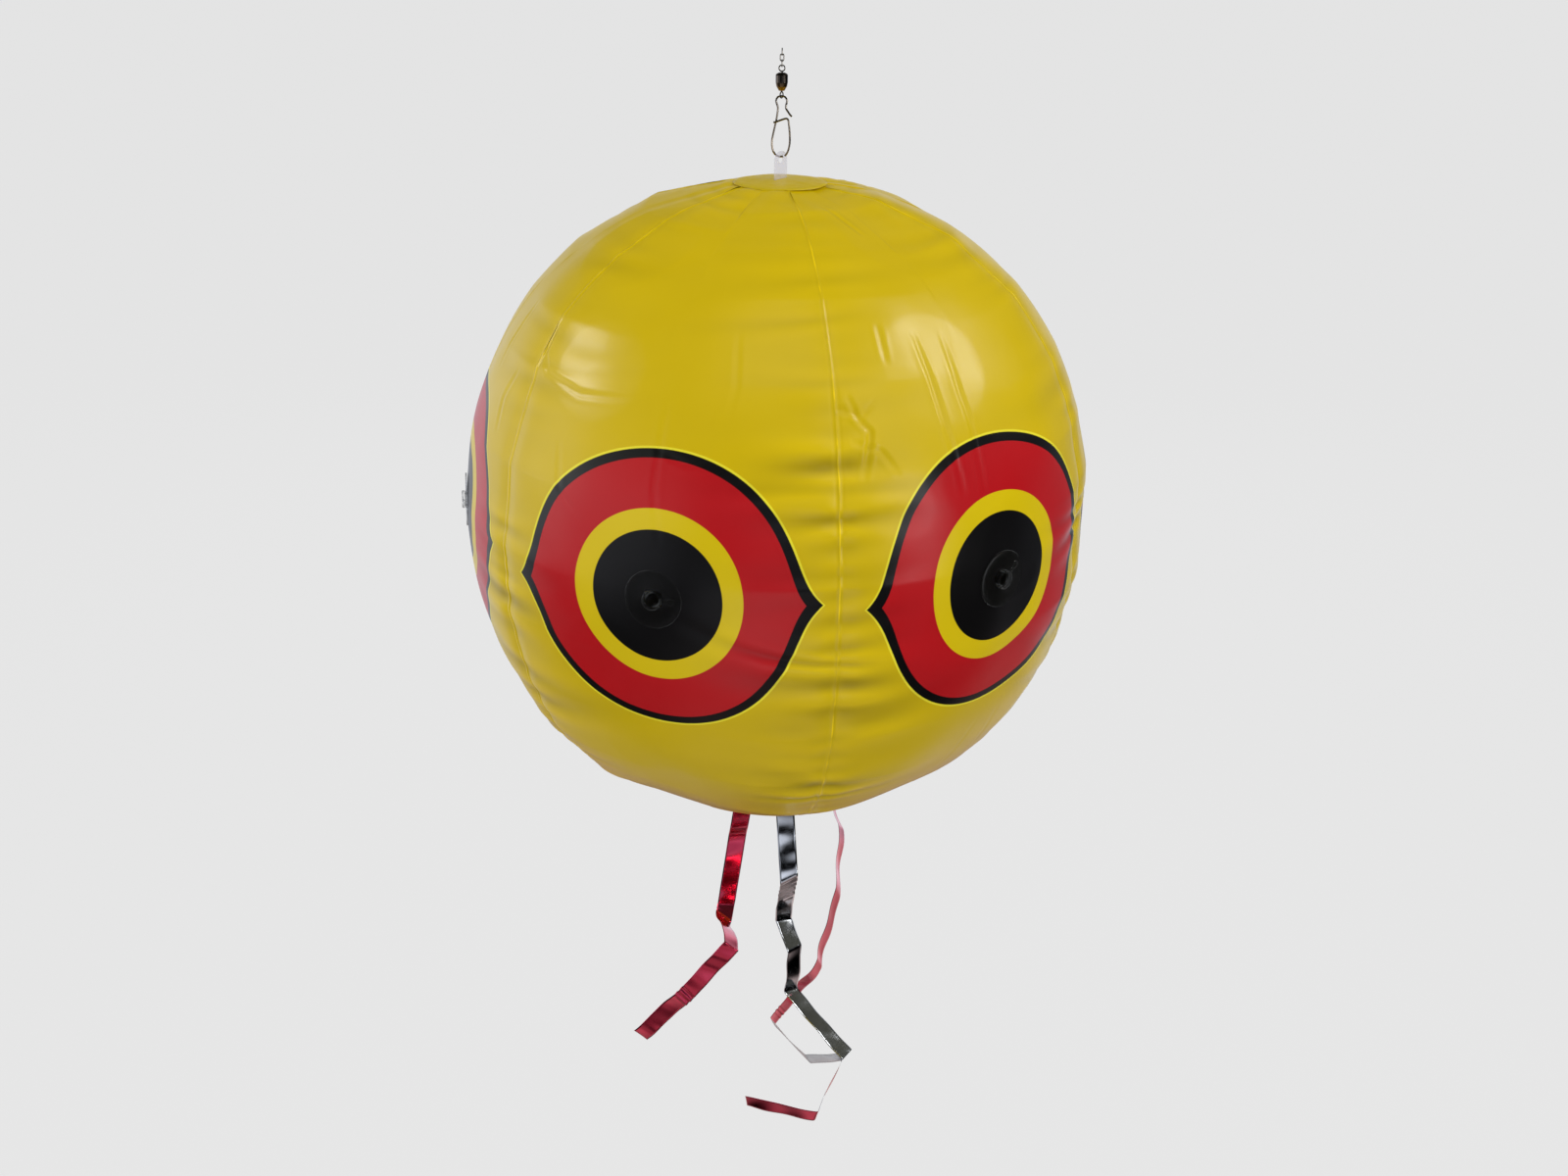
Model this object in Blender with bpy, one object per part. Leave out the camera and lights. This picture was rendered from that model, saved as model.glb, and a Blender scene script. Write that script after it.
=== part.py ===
# Bird scare balloon: an inflated vinyl ball with predator eyes, which hangs from a swivel snap on a short
# chain and trails three metallised film streamers.
# Metres, +Z up. The origin is where a cord or hook goes through the top chain link, which holds the part.
# Panel 1 faces -Y, a little to the left.

from math import acos, asin, atan2, cos, exp, hypot, pi, radians, sin, sqrt, tan

import bmesh
import bpy
from mathutils import Matrix, Vector
from mathutils.geometry import area_tri

mm = 0.001

# Gaps between pieces that touch, the overrun of cuts and the distance under which points are merged
seat_gap = 0.3 * mm
wire_gap = 0.2 * mm
cut_overrun = 2 * mm
merge_distance = 0.002 * mm

# Ball
ball_radius = 200 * mm
ball_height_share = 1.029  # the half height of the inflated ball over its radius
ball_squareness = 2.105  # exponent of the profile's superellipse, 2 is an ellipse
seam_swell_share = 0.016  # how far the ball swells along a seam at 45 degrees up or down
seam_valley_depth = 1.2 * mm
seam_valley_width = 7 * mm
panel_count = 6
panel_turn = radians(-19.6)
film_thickness = 0.3 * mm
panel_tip_radius = 9 * mm
panel_columns = 10
panel_rows = 20
row_crowding_share = 0.35  # how far the panel's rows crowd towards its tips

# End caps
cap_radius = 29 * mm
cap_thickness = 0.4 * mm
cap_rings = 5
cap_sides = 24

# Hanging tab
tab_width = 12.5 * mm
tab_thickness = 1.0 * mm
tab_hole_radius = 2.5 * mm
tab_top_margin = 2.5 * mm
tab_drop = 12.7 * mm  # from the hole's centre to the top of the ball
tab_turn = radians(55)

# Valves
eye_latitude = radians(1.9)
flange_radius = 16.9 * mm
flange_thickness = 0.55 * mm
bead_radius = 0.35 * mm
stem_radius = 5.2 * mm
stem_bore_radius = 4.3 * mm
stem_depth = 12 * mm
collar_height = 0.4 * mm
plug_depth = 8 * mm
plug_head_radius = 5.6 * mm
head_height = 1.6 * mm
dish_depth = 0.6 * mm
plug_turns = [radians(angle) for angle in (2, 36, -8, 20, -25, 8)]
strap_width = 2.4 * mm
strap_thickness = 0.7 * mm
strap_reach = 11.5 * mm
strap_pad_radius = 2.0 * mm
pad_steps = 8
valve_sides = 20

# Chain links
link_wire_radius = 0.35 * mm
link_inner_length = 3.5 * mm
link_inner_width = 1.5 * mm
link_arc_steps = 8

# Swivel
ring_wire_radius = 0.4 * mm
ring_inner_radius = 1.4 * mm
neck_length = 0.4 * mm
neck_radius = 0.6 * mm
barrel_length = 10.6 * mm
barrel_radius = 3.75 * mm
barrel_end_radius = 1.8 * mm
barrel_shoulder_share = 0.14  # of the length, the rounded top
barrel_taper_share = 0.46  # of the length, the tapered bottom
barrel_wall = 0.9 * mm
head_radius = 1.5 * mm
head_thickness = 0.9 * mm
lower_ring_turn = radians(30)
swivel_sides = 20

# Snap: outlines as shares of its half width and of its height between the two bends
snap_wire_radius = 0.6 * mm
snap_half_width = 5.5 * mm
snap_height = 36.4 * mm
snap_frame_shares = [
    (1.16, 0.665),
    (0.98, 0.690),
    (0.72, 0.745),
    (0.50, 0.800),
    (0.52, 0.860),
    (0.62, 0.920),
    (0.42, 0.980),
    (0.00, 1.000),
    (-0.42, 0.980),
    (-0.60, 0.920),
    (-0.48, 0.860),
    (-0.38, 0.800),
    (-0.45, 0.700),
    (-0.58, 0.580),
    (-0.80, 0.430),
    (-0.97, 0.300),
    (-1.00, 0.190),
    (-0.84, 0.085),
    (-0.45, 0.015),
    (0.00, 0.000),
    (0.27, 0.004),
]
snap_gate_shares = [
    (0.45, 0.012),
    (0.66, 0.050),
    (0.85, 0.120),
    (0.97, 0.220),
    (0.98, 0.330),
    (0.92, 0.450),
    (0.84, 0.555),
    (0.76, 0.615),
    (0.55, 0.636),
    (0.20, 0.622),
    (-0.25, 0.598),
    (-0.62, 0.576),
    (-0.86, 0.572),
]
gate_rise_shares = (0.20, 0.55)  # the heights between which the gate leans out to run in front of the frame

# Streamers: where each is taped on, how its top edge is turned and how far it leans sideways
streamer_width = 12.7 * mm
streamer_thickness = 0.3 * mm
streamer_lengths = {"left": 318 * mm, "middle": 255 * mm, "right": 447 * mm}
streamer_places = {"left": (-16 * mm, 4 * mm), "middle": (8 * mm, -20 * mm), "right": (33 * mm, 14 * mm)}
streamer_turns = {"left": radians(0), "middle": radians(0), "right": radians(90)}
streamer_leans = {"left": radians(7), "middle": radians(-4), "right": radians(7)}
tape_length = 14 * mm
tape_width = 15 * mm
tape_thickness = 0.3 * mm
tape_squares = 4

# Package creases, down the streamer: share of its length, skew in degrees, fold in degrees
streamer_crease_shares = {
    "left": [
        (0.10, 4, 14),
        (0.13, -5, -18),
        (0.20, -10, -49),
        (0.03, 30, -70),
        (0.16, 1, 110),
        (0.17, 22, 8),
        (0.21, 5, 0),
    ],
    "middle": [
        (0.18, -6, -4),
        (0.09, -24, 47),
        (0.23, 16, -63),
        (0.09, -2, 47),
        (0.17, 14, -72),
        (0.24, -6, 0),
    ],
    "right": [
        (0.12, 40, 28),
        (0.12, 50, 14),
        (0.14, 49, 33),
        (0.18, 49, -110),
        (0.10, 52, -71),
        (0.09, 26, 140),
        (0.11, 27, 89),
        (0.14, 10, 0),
    ],
}

# Heights, from the hook down
link_pitch = link_inner_length - wire_gap
link_centres = [-link_inner_length / 2 - link_pitch * k for k in range(3)]
upper_hinge_z = link_centres[-1] - link_inner_length / 2 - link_wire_radius
upper_ring_z = link_centres[-1] - link_inner_length / 2 + wire_gap - ring_inner_radius
ring_outer_radius = ring_inner_radius + 2 * ring_wire_radius
barrel_top_z = upper_ring_z - ring_outer_radius - neck_length
barrel_bottom_z = barrel_top_z - barrel_length
lower_ring_z = barrel_bottom_z - neck_length - ring_outer_radius
snap_hinge_z = lower_ring_z - ring_inner_radius - ring_wire_radius
snap_top_z = lower_ring_z - ring_inner_radius + wire_gap + snap_wire_radius
snap_bottom_z = snap_top_z - snap_height
tab_hole_z = snap_bottom_z + snap_wire_radius + wire_gap - tab_hole_radius
ball_half_height = ball_radius * ball_height_share
ball_z = tab_hole_z - tab_drop - ball_half_height
centre = Vector((0, 0, ball_z))


def clear_scene():
    for obj in list(bpy.data.objects):
        bpy.data.objects.remove(obj, do_unlink=True)


# Materials
def material(name, colour, roughness, metallic=0.0, alpha=1.0):
    found = bpy.data.materials.get(name)
    if found:
        return found
    made = bpy.data.materials.new(name)
    made.use_nodes = True
    shader = made.node_tree.nodes["Principled BSDF"]
    shader.inputs["Base Color"].default_value = (*colour, 1)
    shader.inputs["Roughness"].default_value = roughness
    shader.inputs["Metallic"].default_value = metallic
    shader.inputs["Alpha"].default_value = alpha
    made.diffuse_color = (*colour, alpha)
    return made


def yellow_vinyl():
    return material("yellow_vinyl", (0.61, 0.48, 0.0), 0.32)


def clear_vinyl():
    return material("clear_vinyl", (0.75, 0.80, 0.82), 0.15, alpha=0.4)


def dark_nickel():
    return material("dark_nickel", (0.10, 0.10, 0.10), 0.25, metallic=1.0)


def foil(name, colour):
    return material(name, colour, 0.12, metallic=1.0)


# Mesh helpers
def add_object(name, mesh, finish, smooth_angle=radians(40)):
    mesh.materials.append(finish)
    mesh.shade_smooth()
    mesh.set_sharp_from_angle(angle=smooth_angle)
    obj = bpy.data.objects.new(name, mesh)
    bpy.context.scene.collection.objects.link(obj)
    return obj


def mesh_from(bm, name):
    """A mesh of a closed bmesh, facing out."""
    bmesh.ops.recalc_face_normals(bm, faces=bm.faces)
    if bm.calc_volume(signed=True) < 0:
        bmesh.ops.reverse_faces(bm, faces=bm.faces)
    mesh = bpy.data.meshes.new(name)
    bm.to_mesh(mesh)
    bm.free()
    return mesh


def film_object(name, bm, finish, thickness, outward=True):
    """An object from an open sheet over the ball, thickened outward or inward by Solidify."""
    bm.normal_update()
    for face in bm.faces:
        if face.normal.dot(face.calc_center_median() - centre) < 0:
            face.normal_flip()
    mesh = bpy.data.meshes.new(name)
    bm.to_mesh(mesh)
    bm.free()
    obj = add_object(name, mesh, finish)
    film = obj.modifiers.new("film", "SOLIDIFY")
    film.thickness = thickness
    film.offset = 1 if outward else -1
    return obj


def spun(profile, sides):
    """A bmesh turned about Z from a closed loop of (radius, height) points, or an open one that ends on Z."""
    bm = bmesh.new()
    corners = [bm.verts.new((r, 0, h)) for r, h in profile]
    pairs = list(zip(corners, corners[1:]))
    if min(r for r, h in profile) > 0:
        pairs.append((corners[-1], corners[0]))
    edges = [bm.edges.new(pair) for pair in pairs]
    bmesh.ops.spin(
        bm, geom=corners + edges, cent=(0, 0, 0), axis=(0, 0, 1), angle=2 * pi, steps=sides, use_merge=True
    )
    bmesh.ops.remove_doubles(bm, verts=bm.verts, dist=merge_distance)
    return bm


def cutter(name, bm):
    """A hidden mesh object for a Boolean."""
    obj = bpy.data.objects.new(name, mesh_from(bm, name))
    bpy.context.scene.collection.objects.link(obj)
    obj.hide_render = True
    obj.display_type = "WIRE"
    return obj


def boolean(obj, other, operation):
    change = obj.modifiers.new(other.name, "BOOLEAN")
    change.operation = operation
    change.solver = "EXACT"
    change.object = other


def move(bm, place):
    for vert in bm.verts:
        vert.co = place(vert.co)


def set_origin(obj, pivot):
    """Puts an object's origin on its joint's axis and leaves its shape where it is."""
    obj.data.transform(Matrix.Translation(-pivot))
    obj.location = pivot


def hang_on(child, parent):
    """Parents one object to another and leaves it where it is. No parent here is turned or scaled."""
    child.parent = parent
    child.matrix_parent_inverse = Matrix.Translation(-parent.location)


def smooth_path(corners, steps):
    """Points along a Catmull-Rom curve through the corners."""
    ends = [2 * corners[0] - corners[1], *corners, 2 * corners[-1] - corners[-2]]
    path = []
    for a, b, c, d in zip(ends, ends[1:], ends[2:], ends[3:]):
        for step in range(steps):
            t = step / steps
            path.append(0.5 * ((2 * b) + (c - a) * t + (2 * a - 5 * b + 4 * c - d) * t**2
                               + (3 * b - a - 3 * c + d) * t**3))
    return path + [corners[-1]]


def wire(name, path, radius, finish, closed=False):
    """A round wire along a path, as a bevelled curve."""
    curve = bpy.data.curves.new(name, "CURVE")
    curve.dimensions = "3D"
    curve.bevel_depth = radius
    curve.bevel_resolution = 2
    curve.use_fill_caps = not closed
    line = curve.splines.new("POLY")
    line.points.add(len(path) - 1)
    for point, place in zip(line.points, path):
        point.co = (*place, 1)
    line.use_cyclic_u = closed
    line.use_smooth = True
    curve.materials.append(finish)
    obj = bpy.data.objects.new(name, curve)
    bpy.context.scene.collection.objects.link(obj)
    return obj


# Ball surface
def seam_share(longitude):
    """0 in a panel's middle, 1 on a seam."""
    return (1 - cos(panel_count * (longitude - panel_turn))) / 2


def skin_point(latitude, longitude):
    c, s = cos(latitude), sin(latitude)
    seam = seam_share(longitude)
    radius = ball_radius * (abs(c) ** ball_squareness + abs(s) ** ball_squareness) ** (-1 / ball_squareness)
    radius *= 1 + seam_swell_share * seam * sin(2 * latitude) ** 2
    across = asin(sqrt(1 - min(seam, 1))) / (panel_count / 2) * radius * c
    radius -= seam_valley_depth * exp(-((across / seam_valley_width) ** 2)) * c
    return Vector((radius * c * sin(longitude), -radius * c * cos(longitude), radius * s * ball_height_share))


def skin(latitude, longitude, lift=0.0):
    """The point of the ball at a latitude and longitude, raised along the surface's normal."""
    step = wire_gap / ball_radius
    east = skin_point(latitude, longitude + step) - skin_point(latitude, longitude - step)
    north = skin_point(latitude + step, longitude) - skin_point(latitude - step, longitude)
    return centre + skin_point(latitude, longitude) + lift * east.cross(north).normalized()


def make_panel(number, hole_cutter):
    """One gore: a grid over the ball's surface, made a film by Solidify, with the valve's hole."""
    middle = panel_turn + 2 * pi * number / panel_count
    tip = acos(panel_tip_radius / ball_radius)
    bm = bmesh.new()
    rows = []
    for row in range(panel_rows + 1):
        height = 2 * row / panel_rows - 1
        latitude = tip * (height + row_crowding_share * (sin(pi / 2 * height) - height))
        half = pi / panel_count - seat_gap / 2 / (ball_radius * cos(latitude))
        line = []
        for column in range(panel_columns + 1):
            across = sin(pi / 2 * (2 * column / panel_columns - 1))
            line.append(bm.verts.new(skin(latitude, middle + half * across)))
        rows.append(line)
    for low, high in zip(rows, rows[1:]):
        for a, b, c, d in zip(low, low[1:], high[1:], high):
            bm.faces.new((a, b, c, d))
    panel = film_object(f"panel_{number + 1}", bm, yellow_vinyl(), film_thickness, outward=False)
    boolean(panel, hole_cutter, "DIFFERENCE")
    return panel


def make_cap(name, side):
    """A round patch over the panels' tips. side is 1 at the top and -1 at the bottom."""
    bm = spun([(cap_radius * ring / cap_rings, 0) for ring in range(cap_rings + 1)], cap_sides)
    for vert in bm.verts:
        distance = vert.co.length
        latitude = side * acos(min(distance, ball_radius) / ball_radius)
        longitude = atan2(vert.co.x, -vert.co.y)
        vert.co = skin(latitude, longitude, seat_gap)
    return film_object(name, bm, clear_vinyl(), cap_thickness)


# Hanging tab
def make_hanging_tab():
    """A flat clear tab with a round top, turned about Z, with the hole that the snap goes through."""
    top_radius = tab_hole_radius + tab_top_margin
    foot = centre.z + ball_half_height + seat_gap + cap_thickness + seat_gap
    outline = [Vector((-tab_width / 2, 0, foot)), Vector((tab_width / 2, 0, foot))]
    shoulder = tab_width / 2 - top_radius
    for step in range(link_arc_steps * 2 + 1):
        angle = pi * step / (link_arc_steps * 2)
        across, rise = (top_radius + shoulder) * cos(angle), top_radius * sin(angle)
        outline.append(Vector((across, 0, tab_hole_z + rise)))
    bm = bmesh.new()
    face = bm.faces.new([bm.verts.new(point) for point in outline])
    pushed = bmesh.ops.extrude_face_region(bm, geom=[face])["geom"]
    moved = [item for item in pushed if isinstance(item, bmesh.types.BMVert)]
    bmesh.ops.translate(bm, verts=moved, vec=(0, tab_thickness, 0))
    bmesh.ops.translate(bm, verts=bm.verts, vec=(0, -tab_thickness / 2, 0))
    bmesh.ops.rotate(bm, verts=bm.verts, matrix=Matrix.Rotation(tab_turn, 3, "Z"))
    obj = add_object("hanging_tab", mesh_from(bm, "hanging_tab"), clear_vinyl())
    stand = Matrix.Rotation(tab_turn, 4, "Z") @ Matrix.Rotation(pi / 2, 4, "X")
    hole = bmesh.new()
    bmesh.ops.create_cone(
        hole,
        cap_ends=True,
        segments=valve_sides,
        radius1=tab_hole_radius,
        radius2=tab_hole_radius,
        depth=tab_thickness + 2 * cut_overrun,
        matrix=Matrix.Translation((0, 0, tab_hole_z)) @ stand,
    )
    boolean(obj, cutter("tab_hole_cutter", hole), "DIFFERENCE")
    return obj


# Valves
def on_valve(number):
    """A function that lays a point (across, up, out) of a valve on its panel, draped over the ball."""
    middle = panel_turn + 2 * pi * number / panel_count
    origin = skin(eye_latitude, middle)
    out = (skin(eye_latitude, middle, seat_gap) - origin).normalized()
    east = Vector((0, 0, 1)).cross(out).normalized()
    up = out.cross(east)

    def place(point):
        longitude = middle + point.x / (ball_radius * cos(eye_latitude))
        near = skin(eye_latitude + point.y / ball_radius, longitude)
        drop = (near - origin).dot(out)
        return origin + east * point.x + up * point.y + out * (point.z + drop)

    return place


def make_valve(number):
    place = on_valve(number)
    low, high = seat_gap, seat_gap + flange_thickness
    collar = high + collar_height
    body = spun(
        [
            (stem_radius, low),
            (flange_radius, low),
            (flange_radius, high + bead_radius / 2),
            (flange_radius - bead_radius, high + bead_radius),
            (flange_radius - 2 * bead_radius, high),
            (stem_radius + collar_height, high),
            (stem_radius, collar),
            (stem_bore_radius, collar),
            (stem_bore_radius, -stem_depth),
            (stem_radius, -stem_depth),
        ],
        valve_sides,
    )
    move(body, place)
    name = f"valve_body_{number + 1}"
    fitting = add_object(name, mesh_from(body, name), clear_vinyl())

    # The stopper has a dished head on the collar, and a strap that reaches over the flange
    plug_radius = stem_bore_radius - seat_gap
    under = collar + seat_gap
    over = under + head_height
    dish = over - dish_depth
    stopper = spun(
        [
            (0, -plug_depth),
            (plug_radius, -plug_depth),
            (plug_radius, under),
            (plug_head_radius, under),
            (plug_head_radius, over - bead_radius),
            (plug_head_radius - bead_radius, over),
            (plug_head_radius - 2 * bead_radius, over),
            (plug_head_radius - 3 * bead_radius, dish),
            (0, dish),
        ],
        valve_sides,
    )
    turn = Matrix.Rotation(plug_turns[number % len(plug_turns)], 4, "Z")
    move(stopper, lambda point: place(turn @ point))
    name = f"valve_plug_{number + 1}"
    plug = add_object(name, mesh_from(stopper, name), clear_vinyl())

    strap = bmesh.new()
    half = strap_width / 2
    start = plug_head_radius - 2 * bead_radius
    outline = [(start, -half)]
    spread = asin(half / strap_pad_radius)
    for step in range(pad_steps + 1):
        angle = spread - pi + 2 * (pi - spread) * step / pad_steps
        outline.append((strap_reach + strap_pad_radius * cos(angle), strap_pad_radius * sin(angle)))
    outline.append((start, half))
    strap_low = (under + dish - strap_thickness) / 2
    lower = [strap.verts.new((x, y, strap_low)) for x, y in outline]
    pushed = bmesh.ops.extrude_face_region(strap, geom=[strap.faces.new(lower)])["geom"]
    moved = [item for item in pushed if isinstance(item, bmesh.types.BMVert)]
    bmesh.ops.translate(strap, verts=moved, vec=(0, 0, strap_thickness))
    move(strap, lambda point: place(turn @ point))
    boolean(plug, cutter(f"strap_shape_{number + 1}", strap), "UNION")
    set_origin(plug, place(Vector((0, 0, 0))))
    return fitting, plug


def valve_hole_cutter(number):
    """A cylinder a little wider than the stem, along the valve's axis."""
    place = on_valve(number)
    bore = spun(
        [
            (0, -cut_overrun),
            (stem_radius + seat_gap, -cut_overrun),
            (stem_radius + seat_gap, cut_overrun),
            (0, cut_overrun),
        ],
        valve_sides,
    )
    move(bore, place)
    return cutter(f"valve_hole_{number + 1}", bore)


# Chain and swivel
def make_link(name, height, turn):
    """A stadium-shaped link in the XZ plane, turned about Z."""
    bend = link_inner_width / 2 + link_wire_radius
    straight = link_inner_length / 2 - link_inner_width / 2
    spin = Matrix.Rotation(turn, 3, "Z")
    path = []
    for side in (1, -1):
        for step in range(link_arc_steps + 1):
            angle = pi * step / link_arc_steps
            path.append(spin @ Vector((side * bend * cos(angle), 0, side * (straight + bend * sin(angle)))))
    path = [point + Vector((0, 0, height)) for point in path]
    link = wire(name, path, link_wire_radius, dark_nickel(), closed=True)
    set_origin(link, Vector((0, 0, height + link_inner_length / 2 - wire_gap - link_wire_radius)))
    return link


def make_swivel_eye(name, ring_z, barrel_end_z, side, turn):
    """A ring, a neck through the barrel's end and the head that stays inside. side is 1 above the barrel."""
    inside = barrel_end_z - side * (barrel_wall + wire_gap)
    head = spun(
        [
            (0, inside - side * head_thickness),
            (head_radius, inside - side * head_thickness),
            (head_radius, inside),
            (neck_radius, inside),
            (neck_radius, ring_z - side * (ring_inner_radius + ring_wire_radius)),
            (0, ring_z - side * (ring_inner_radius + ring_wire_radius)),
        ],
        swivel_sides // 2,
    )
    obj = add_object(name, mesh_from(head, name), dark_nickel())
    middle = ring_inner_radius + ring_wire_radius
    ring = spun(
        [
            (middle + ring_wire_radius * cos(angle), ring_wire_radius * sin(angle))
            for angle in (2 * pi * step / link_arc_steps for step in range(link_arc_steps))
        ],
        swivel_sides,
    )
    stand = Matrix.Rotation(turn, 4, "Z") @ Matrix.Rotation(pi / 2, 4, "X")
    move(ring, lambda point: stand @ point + Vector((0, 0, ring_z)))
    boolean(obj, cutter(f"{name}_ring", ring), "UNION")
    return obj


def make_barrel():
    """A hollow barrel with a hole in each end, turned about Z."""
    hole = neck_radius + wire_gap
    shoulder = barrel_top_z - barrel_length * barrel_shoulder_share
    taper = barrel_bottom_z + barrel_length * barrel_taper_share
    slant = barrel_radius - barrel_end_radius
    chamber = barrel_radius - barrel_wall
    profile = [
        (hole, barrel_top_z),
        (barrel_end_radius, barrel_top_z),
        (barrel_radius - slant / 4, (barrel_top_z + shoulder) / 2),
        (barrel_radius, shoulder),
        (barrel_radius, taper),
        (barrel_radius - slant / 4, taper - (taper - barrel_bottom_z) / 2),
        (barrel_end_radius, barrel_bottom_z),
        (hole, barrel_bottom_z),
        (hole, barrel_bottom_z + barrel_wall),
        (head_radius + wire_gap, barrel_bottom_z + barrel_wall),
        (head_radius + wire_gap, barrel_bottom_z + barrel_wall + head_thickness + 2 * wire_gap),
        (chamber, taper),
        (chamber, shoulder),
        (head_radius + wire_gap, barrel_top_z - barrel_wall),
        (hole, barrel_top_z - barrel_wall),
    ]
    return add_object("swivel_barrel", mesh_from(spun(profile, swivel_sides), "swivel_barrel"), dark_nickel())


# Snap
def snap_place(share):
    """A point of the snap's outline, in the plane y = 0."""
    return Vector((share[0] * snap_half_width, 0, snap_bottom_z + share[1] * snap_height))


def make_snap():
    """The frame in the plane y = 0, and the gate, whose upper part leans out to cross before the frame."""
    frame_path = smooth_path([snap_place(share) for share in snap_frame_shares], 2)
    frame = wire("snap_frame", frame_path, snap_wire_radius, dark_nickel())
    set_origin(frame, Vector((0, 0, snap_hinge_z)))
    low, high = gate_rise_shares
    corners = []
    for share in snap_gate_shares:
        point = snap_place(share)
        point.y = -(2 * snap_wire_radius + wire_gap) * min(1, max(0, (share[1] - low) / (high - low)))
        corners.append(point)
    gate = wire("snap_gate", smooth_path(corners, 2), snap_wire_radius, dark_nickel())
    set_origin(gate, corners[0])
    return frame, gate


# Streamers
def fold_strip(width, length, lean, creases):
    """Rows of edge points of a strip that hangs from the origin, leans and is folded at its creases."""
    half = width / 2
    lay = Matrix.Rotation(lean, 4, "Y") @ Matrix.Rotation(-pi / 2, 4, "X")
    rows = [(lay @ Vector((-half, 0, 0)), lay @ Vector((half, 0, 0)))]
    along = 0
    for share, skew, fold in creases:
        along += share * length
        slip = half * tan(radians(skew))
        left, right = Vector((-half, along - slip, 0)), Vector((half, along + slip, 0))
        rows.append((lay @ left, lay @ right))
        bend = Matrix.Rotation(radians(fold), 4, right - left)
        lay @= Matrix.Translation(left) @ bend @ Matrix.Translation(-left)
    return rows


def hang_plumb(rows):
    """Swings the strip about its top edge until its centroid is right under the edge."""
    total, moment = 0, Vector()
    for (a, b), (c, d) in zip(rows, rows[1:]):
        for corners in ((a, b, d), (a, d, c)):
            area = area_tri(*corners)
            total += area
            moment += area * sum(corners, Vector()) / 3
    swing = Matrix.Rotation(-atan2(moment.y, -moment.z), 3, "X")
    return [(swing @ left, swing @ right) for left, right in rows]


def under_ball(x, y, lift):
    """The point of the ball's underside at a place, lowered along the surface's normal."""
    return skin(-acos(hypot(x, y) / ball_radius), atan2(x, -y), lift)


def make_streamer(name, finish):
    """A streamer and the tape over its top edge. The tape lies on the end cap, or beside it on the panel."""
    x, y = streamer_places[name]
    turn = Matrix.Rotation(streamer_turns[name], 3, "Z")
    on_cap = hypot(x, y) - tape_length / 2 < cap_radius
    tape_lift = seat_gap + (cap_thickness + seat_gap if on_cap else 0)
    tape = bmesh.new()
    bmesh.ops.create_grid(tape, x_segments=tape_squares, y_segments=tape_squares, size=1)
    for vert in tape.verts:
        spot = Vector((x, y, 0)) + turn @ Vector((vert.co.x * tape_width / 2, vert.co.y * tape_length / 2, 0))
        vert.co = under_ball(spot.x, spot.y, tape_lift)
    patch = film_object(f"streamer_tape_{name}", tape, clear_vinyl(), tape_thickness)

    creases = streamer_crease_shares[name]
    rows = hang_plumb(fold_strip(streamer_width, streamer_lengths[name], streamer_leans[name], creases))
    rows = [(turn @ left, turn @ right) for left, right in rows]
    tops = [under_ball(x + end.x, y + end.y, tape_lift + tape_thickness).z - end.z for end in rows[0]]
    root = Vector((x, y, min(tops) - seat_gap))
    bm = bmesh.new()
    lines = [[bm.verts.new(root + point) for point in row] for row in rows]
    for (a, b), (c, d) in zip(lines, lines[1:]):
        bm.faces.new((a, b, d, c))
    mesh = bpy.data.meshes.new(f"streamer_{name}")
    bm.to_mesh(mesh)
    bm.free()
    streamer = add_object(f"streamer_{name}", mesh, finish)
    mesh.shade_flat()
    film = streamer.modifiers.new("film", "SOLIDIFY")
    film.thickness = streamer_thickness
    film.offset = 0
    film.use_even_offset = True
    film.use_quality_normals = True
    streamer.modifiers.new("flat_faces", "TRIANGULATE")
    set_origin(streamer, root)
    return patch, streamer


def main():
    clear_scene()
    turns = (pi / 2, 0, pi / 2)
    links = [
        make_link(f"chain_link_{name}", height, turn)
        for name, height, turn in zip(("top", "mid", "low"), link_centres, turns)
    ]
    upper_eye = make_swivel_eye("swivel_eye_upper", upper_ring_z, barrel_top_z, 1, 0)
    set_origin(upper_eye, Vector((0, 0, upper_hinge_z)))
    barrel = make_barrel()
    lower_turn = pi / 2 - lower_ring_turn
    lower_eye = make_swivel_eye("swivel_eye_lower", lower_ring_z, barrel_bottom_z, -1, lower_turn)
    frame, gate = make_snap()
    balloon = bpy.data.objects.new("balloon_hinge", None)
    balloon.location = (0, 0, snap_bottom_z)
    bpy.context.scene.collection.objects.link(balloon)
    hanger = [*links, upper_eye, barrel, lower_eye, frame]
    for parent, child in zip(hanger, hanger[1:]):
        hang_on(child, parent)
    hang_on(gate, frame)
    hang_on(balloon, frame)

    pieces = [make_cap("top_cap", 1), make_cap("bottom_cap", -1), make_hanging_tab()]
    for number in range(panel_count):
        pieces += [make_panel(number, valve_hole_cutter(number)), *make_valve(number)]
    red, silver = foil("red_foil", (0.55, 0.02, 0.08)), foil("silver_foil", (0.75, 0.76, 0.78))
    for name, finish in (("left", red), ("middle", silver), ("right", red)):
        pieces += make_streamer(name, finish)
    for piece in pieces:
        hang_on(piece, balloon)


main()
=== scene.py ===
# Bird scare balloon: the looks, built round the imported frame.
# A 400 mm vinyl ball with six printed predator eyes hangs from a swivel snap and trails three foil streamers.
# Metres, +Z up, in the frame of the CAD model: a hook goes through the top link at the origin.

from math import acos, asin, atan2, cos, hypot, pi, radians, sin, tan
from random import Random

import bmesh
import bpy
import numpy as np
from mathutils import Matrix, Vector
from mathutils.geometry import area_tri


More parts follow.
